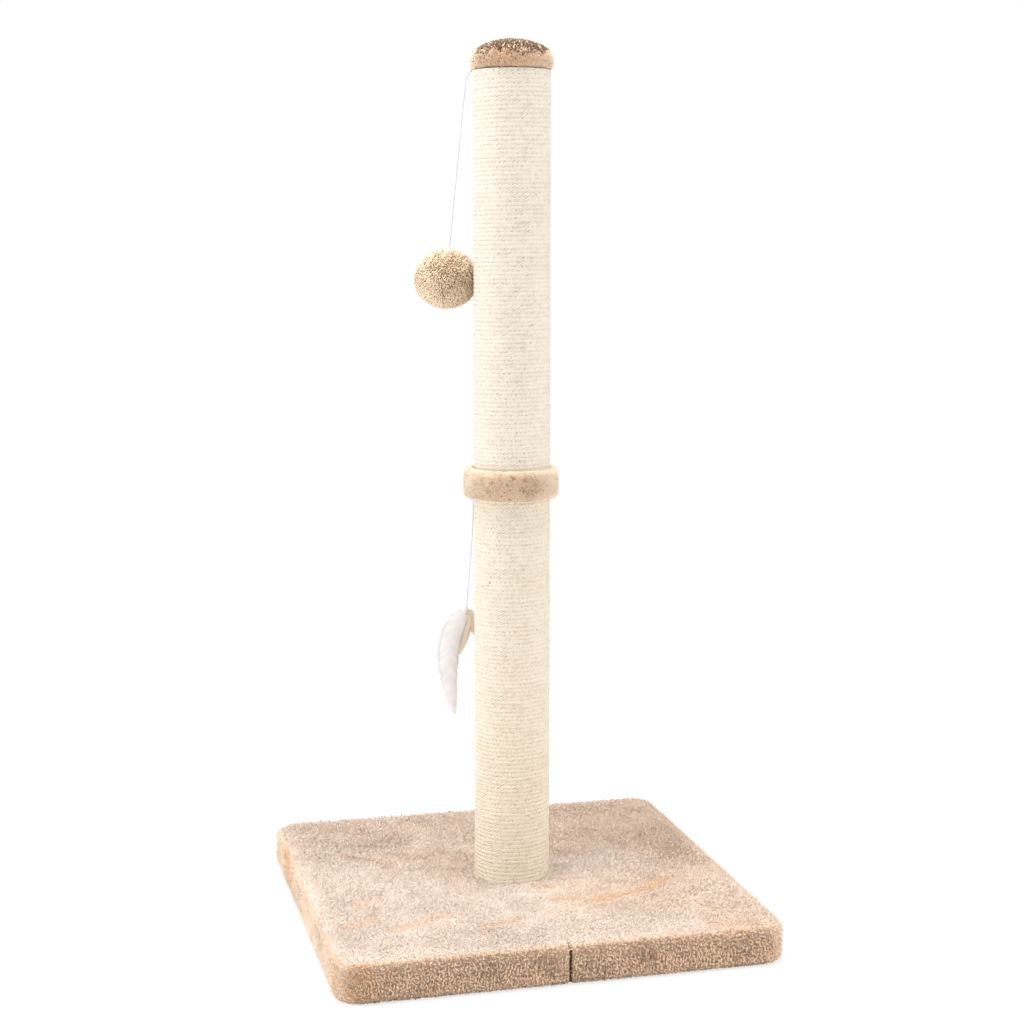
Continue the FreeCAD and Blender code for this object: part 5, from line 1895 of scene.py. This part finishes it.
@dataclass
class Studio:
    """The camera, the lamps, the white surround and the floor, in metres."""

    eye: tuple[float, float, float] = (-0.4334, -1.7040, 0.6395)
    view: tuple[float, float, float] = (0.24382, 0.95860, -0.14706)
    lens: float = 67.897
    fill: float = 0.52
    lamps: tuple[Lamp, ...] = (
        Lamp("left_lamp", (-2.0, -0.1, 0.75), (1.2, 1.9), 20.0),
        Lamp("right_lamp", (1.75, -1.0, 0.75), (1.0, 1.9), 16.5),
        Lamp("top_lamp", (-0.2, 0.0, 2.4), (1.6, 1.6), 58.0, (0.0, 0.0, 0.0)),
    )
    floor_shade: Colour = paint(246, 246, 246)
    floor_half: float = 6.0
    floor_gap: float = 0.0002

    def camera(self) -> None:
        """Make the camera at the photograph's place."""
        data = bpy.data.cameras.new("camera")
        data.lens = self.lens
        data.sensor_width = 36.0
        data.clip_start, data.clip_end = 0.05, 50.0
        camera = bpy.data.objects.new("camera", data)
        camera.location = self.eye
        camera.rotation_euler = Vector(self.view).to_track_quat("-Z", "Y").to_euler()
        bpy.context.scene.collection.objects.link(camera)
        bpy.context.scene.camera = camera

    def surround(self) -> None:
        """Make the world: white to the eye, softer as light."""
        world = bpy.data.worlds.new("surround")
        bpy.context.scene.world = world
        nodes = Nodes(world)
        rays = nodes.add("ShaderNodeLightPath", {})
        seen = nodes.math("MAXIMUM", rays["Is Camera Ray"], rays["Is Glossy Ray"])
        seen = nodes.math("MAXIMUM", seen, rays["Is Transmission Ray"])
        level = nodes.span(seen, 0.0, 1.0, self.fill, 1.0)
        back = nodes.add("ShaderNodeBackground", {"Color": WHITE, "Strength": level})[0]
        nodes.add("ShaderNodeOutputWorld", {"Surface": back})

    def floor(self) -> None:
        """Make the floor: white to the eye, with the object's faint shadow."""
        half = self.floor_half
        mesh = bpy.data.meshes.new("floor")
        mesh.from_pydata([(-half, -half, 0), (half, -half, 0), (half, half, 0), (-half, half, 0)],
                         [], [(0, 1, 2, 3)])
        plane = bpy.data.objects.new("floor", mesh)
        plane.location.z = -self.floor_gap
        bpy.context.scene.collection.objects.link(plane)
        material = bpy.data.materials.new("pale_floor")
        nodes = Nodes(material)
        rays = nodes.add("ShaderNodeLightPath", {})
        place = nodes.add("ShaderNodeTexCoord", {})["Object"]
        away = nodes.add("ShaderNodeVectorMath", {0: place}, operation="LENGTH")["Value"]
        plain = nodes.span(away, 0.3, 1.1, 0.72, 1.0)
        share = nodes.math("MULTIPLY", rays["Is Camera Ray"], plain)
        matt = nodes.add("ShaderNodeBsdfDiffuse", {"Color": self.floor_shade})[0]
        glow = nodes.add("ShaderNodeEmission", {"Color": WHITE})[0]
        mix = nodes.add("ShaderNodeMixShader", {0: share, 1: matt, 2: glow})[0]
        nodes.add("ShaderNodeOutputMaterial", {"Surface": mix})
        mesh.materials.append(material)

    def build(self) -> None:
        """Make everything round the object."""
        bpy.context.scene.view_settings.view_transform = "Standard"
        self.camera()
        for lamp in self.lamps:
            lamp.build()
        self.surround()
        self.floor()


def main() -> None:
    """Build the studio and the object's pieces in order."""
    logging.basicConfig(level=logging.INFO, format="%(message)s")
    Studio().build()
    Toys().build()
    PlushBase().build()
    RopePost(Half.LOWER, LOWER_ROPE).build()
    RopePost(Half.UPPER, UPPER_ROPE).build()
    plush_collar().build()
    plush_cap().build()
    finish_cad_nodes()


if __name__ == "__main__":
    main()
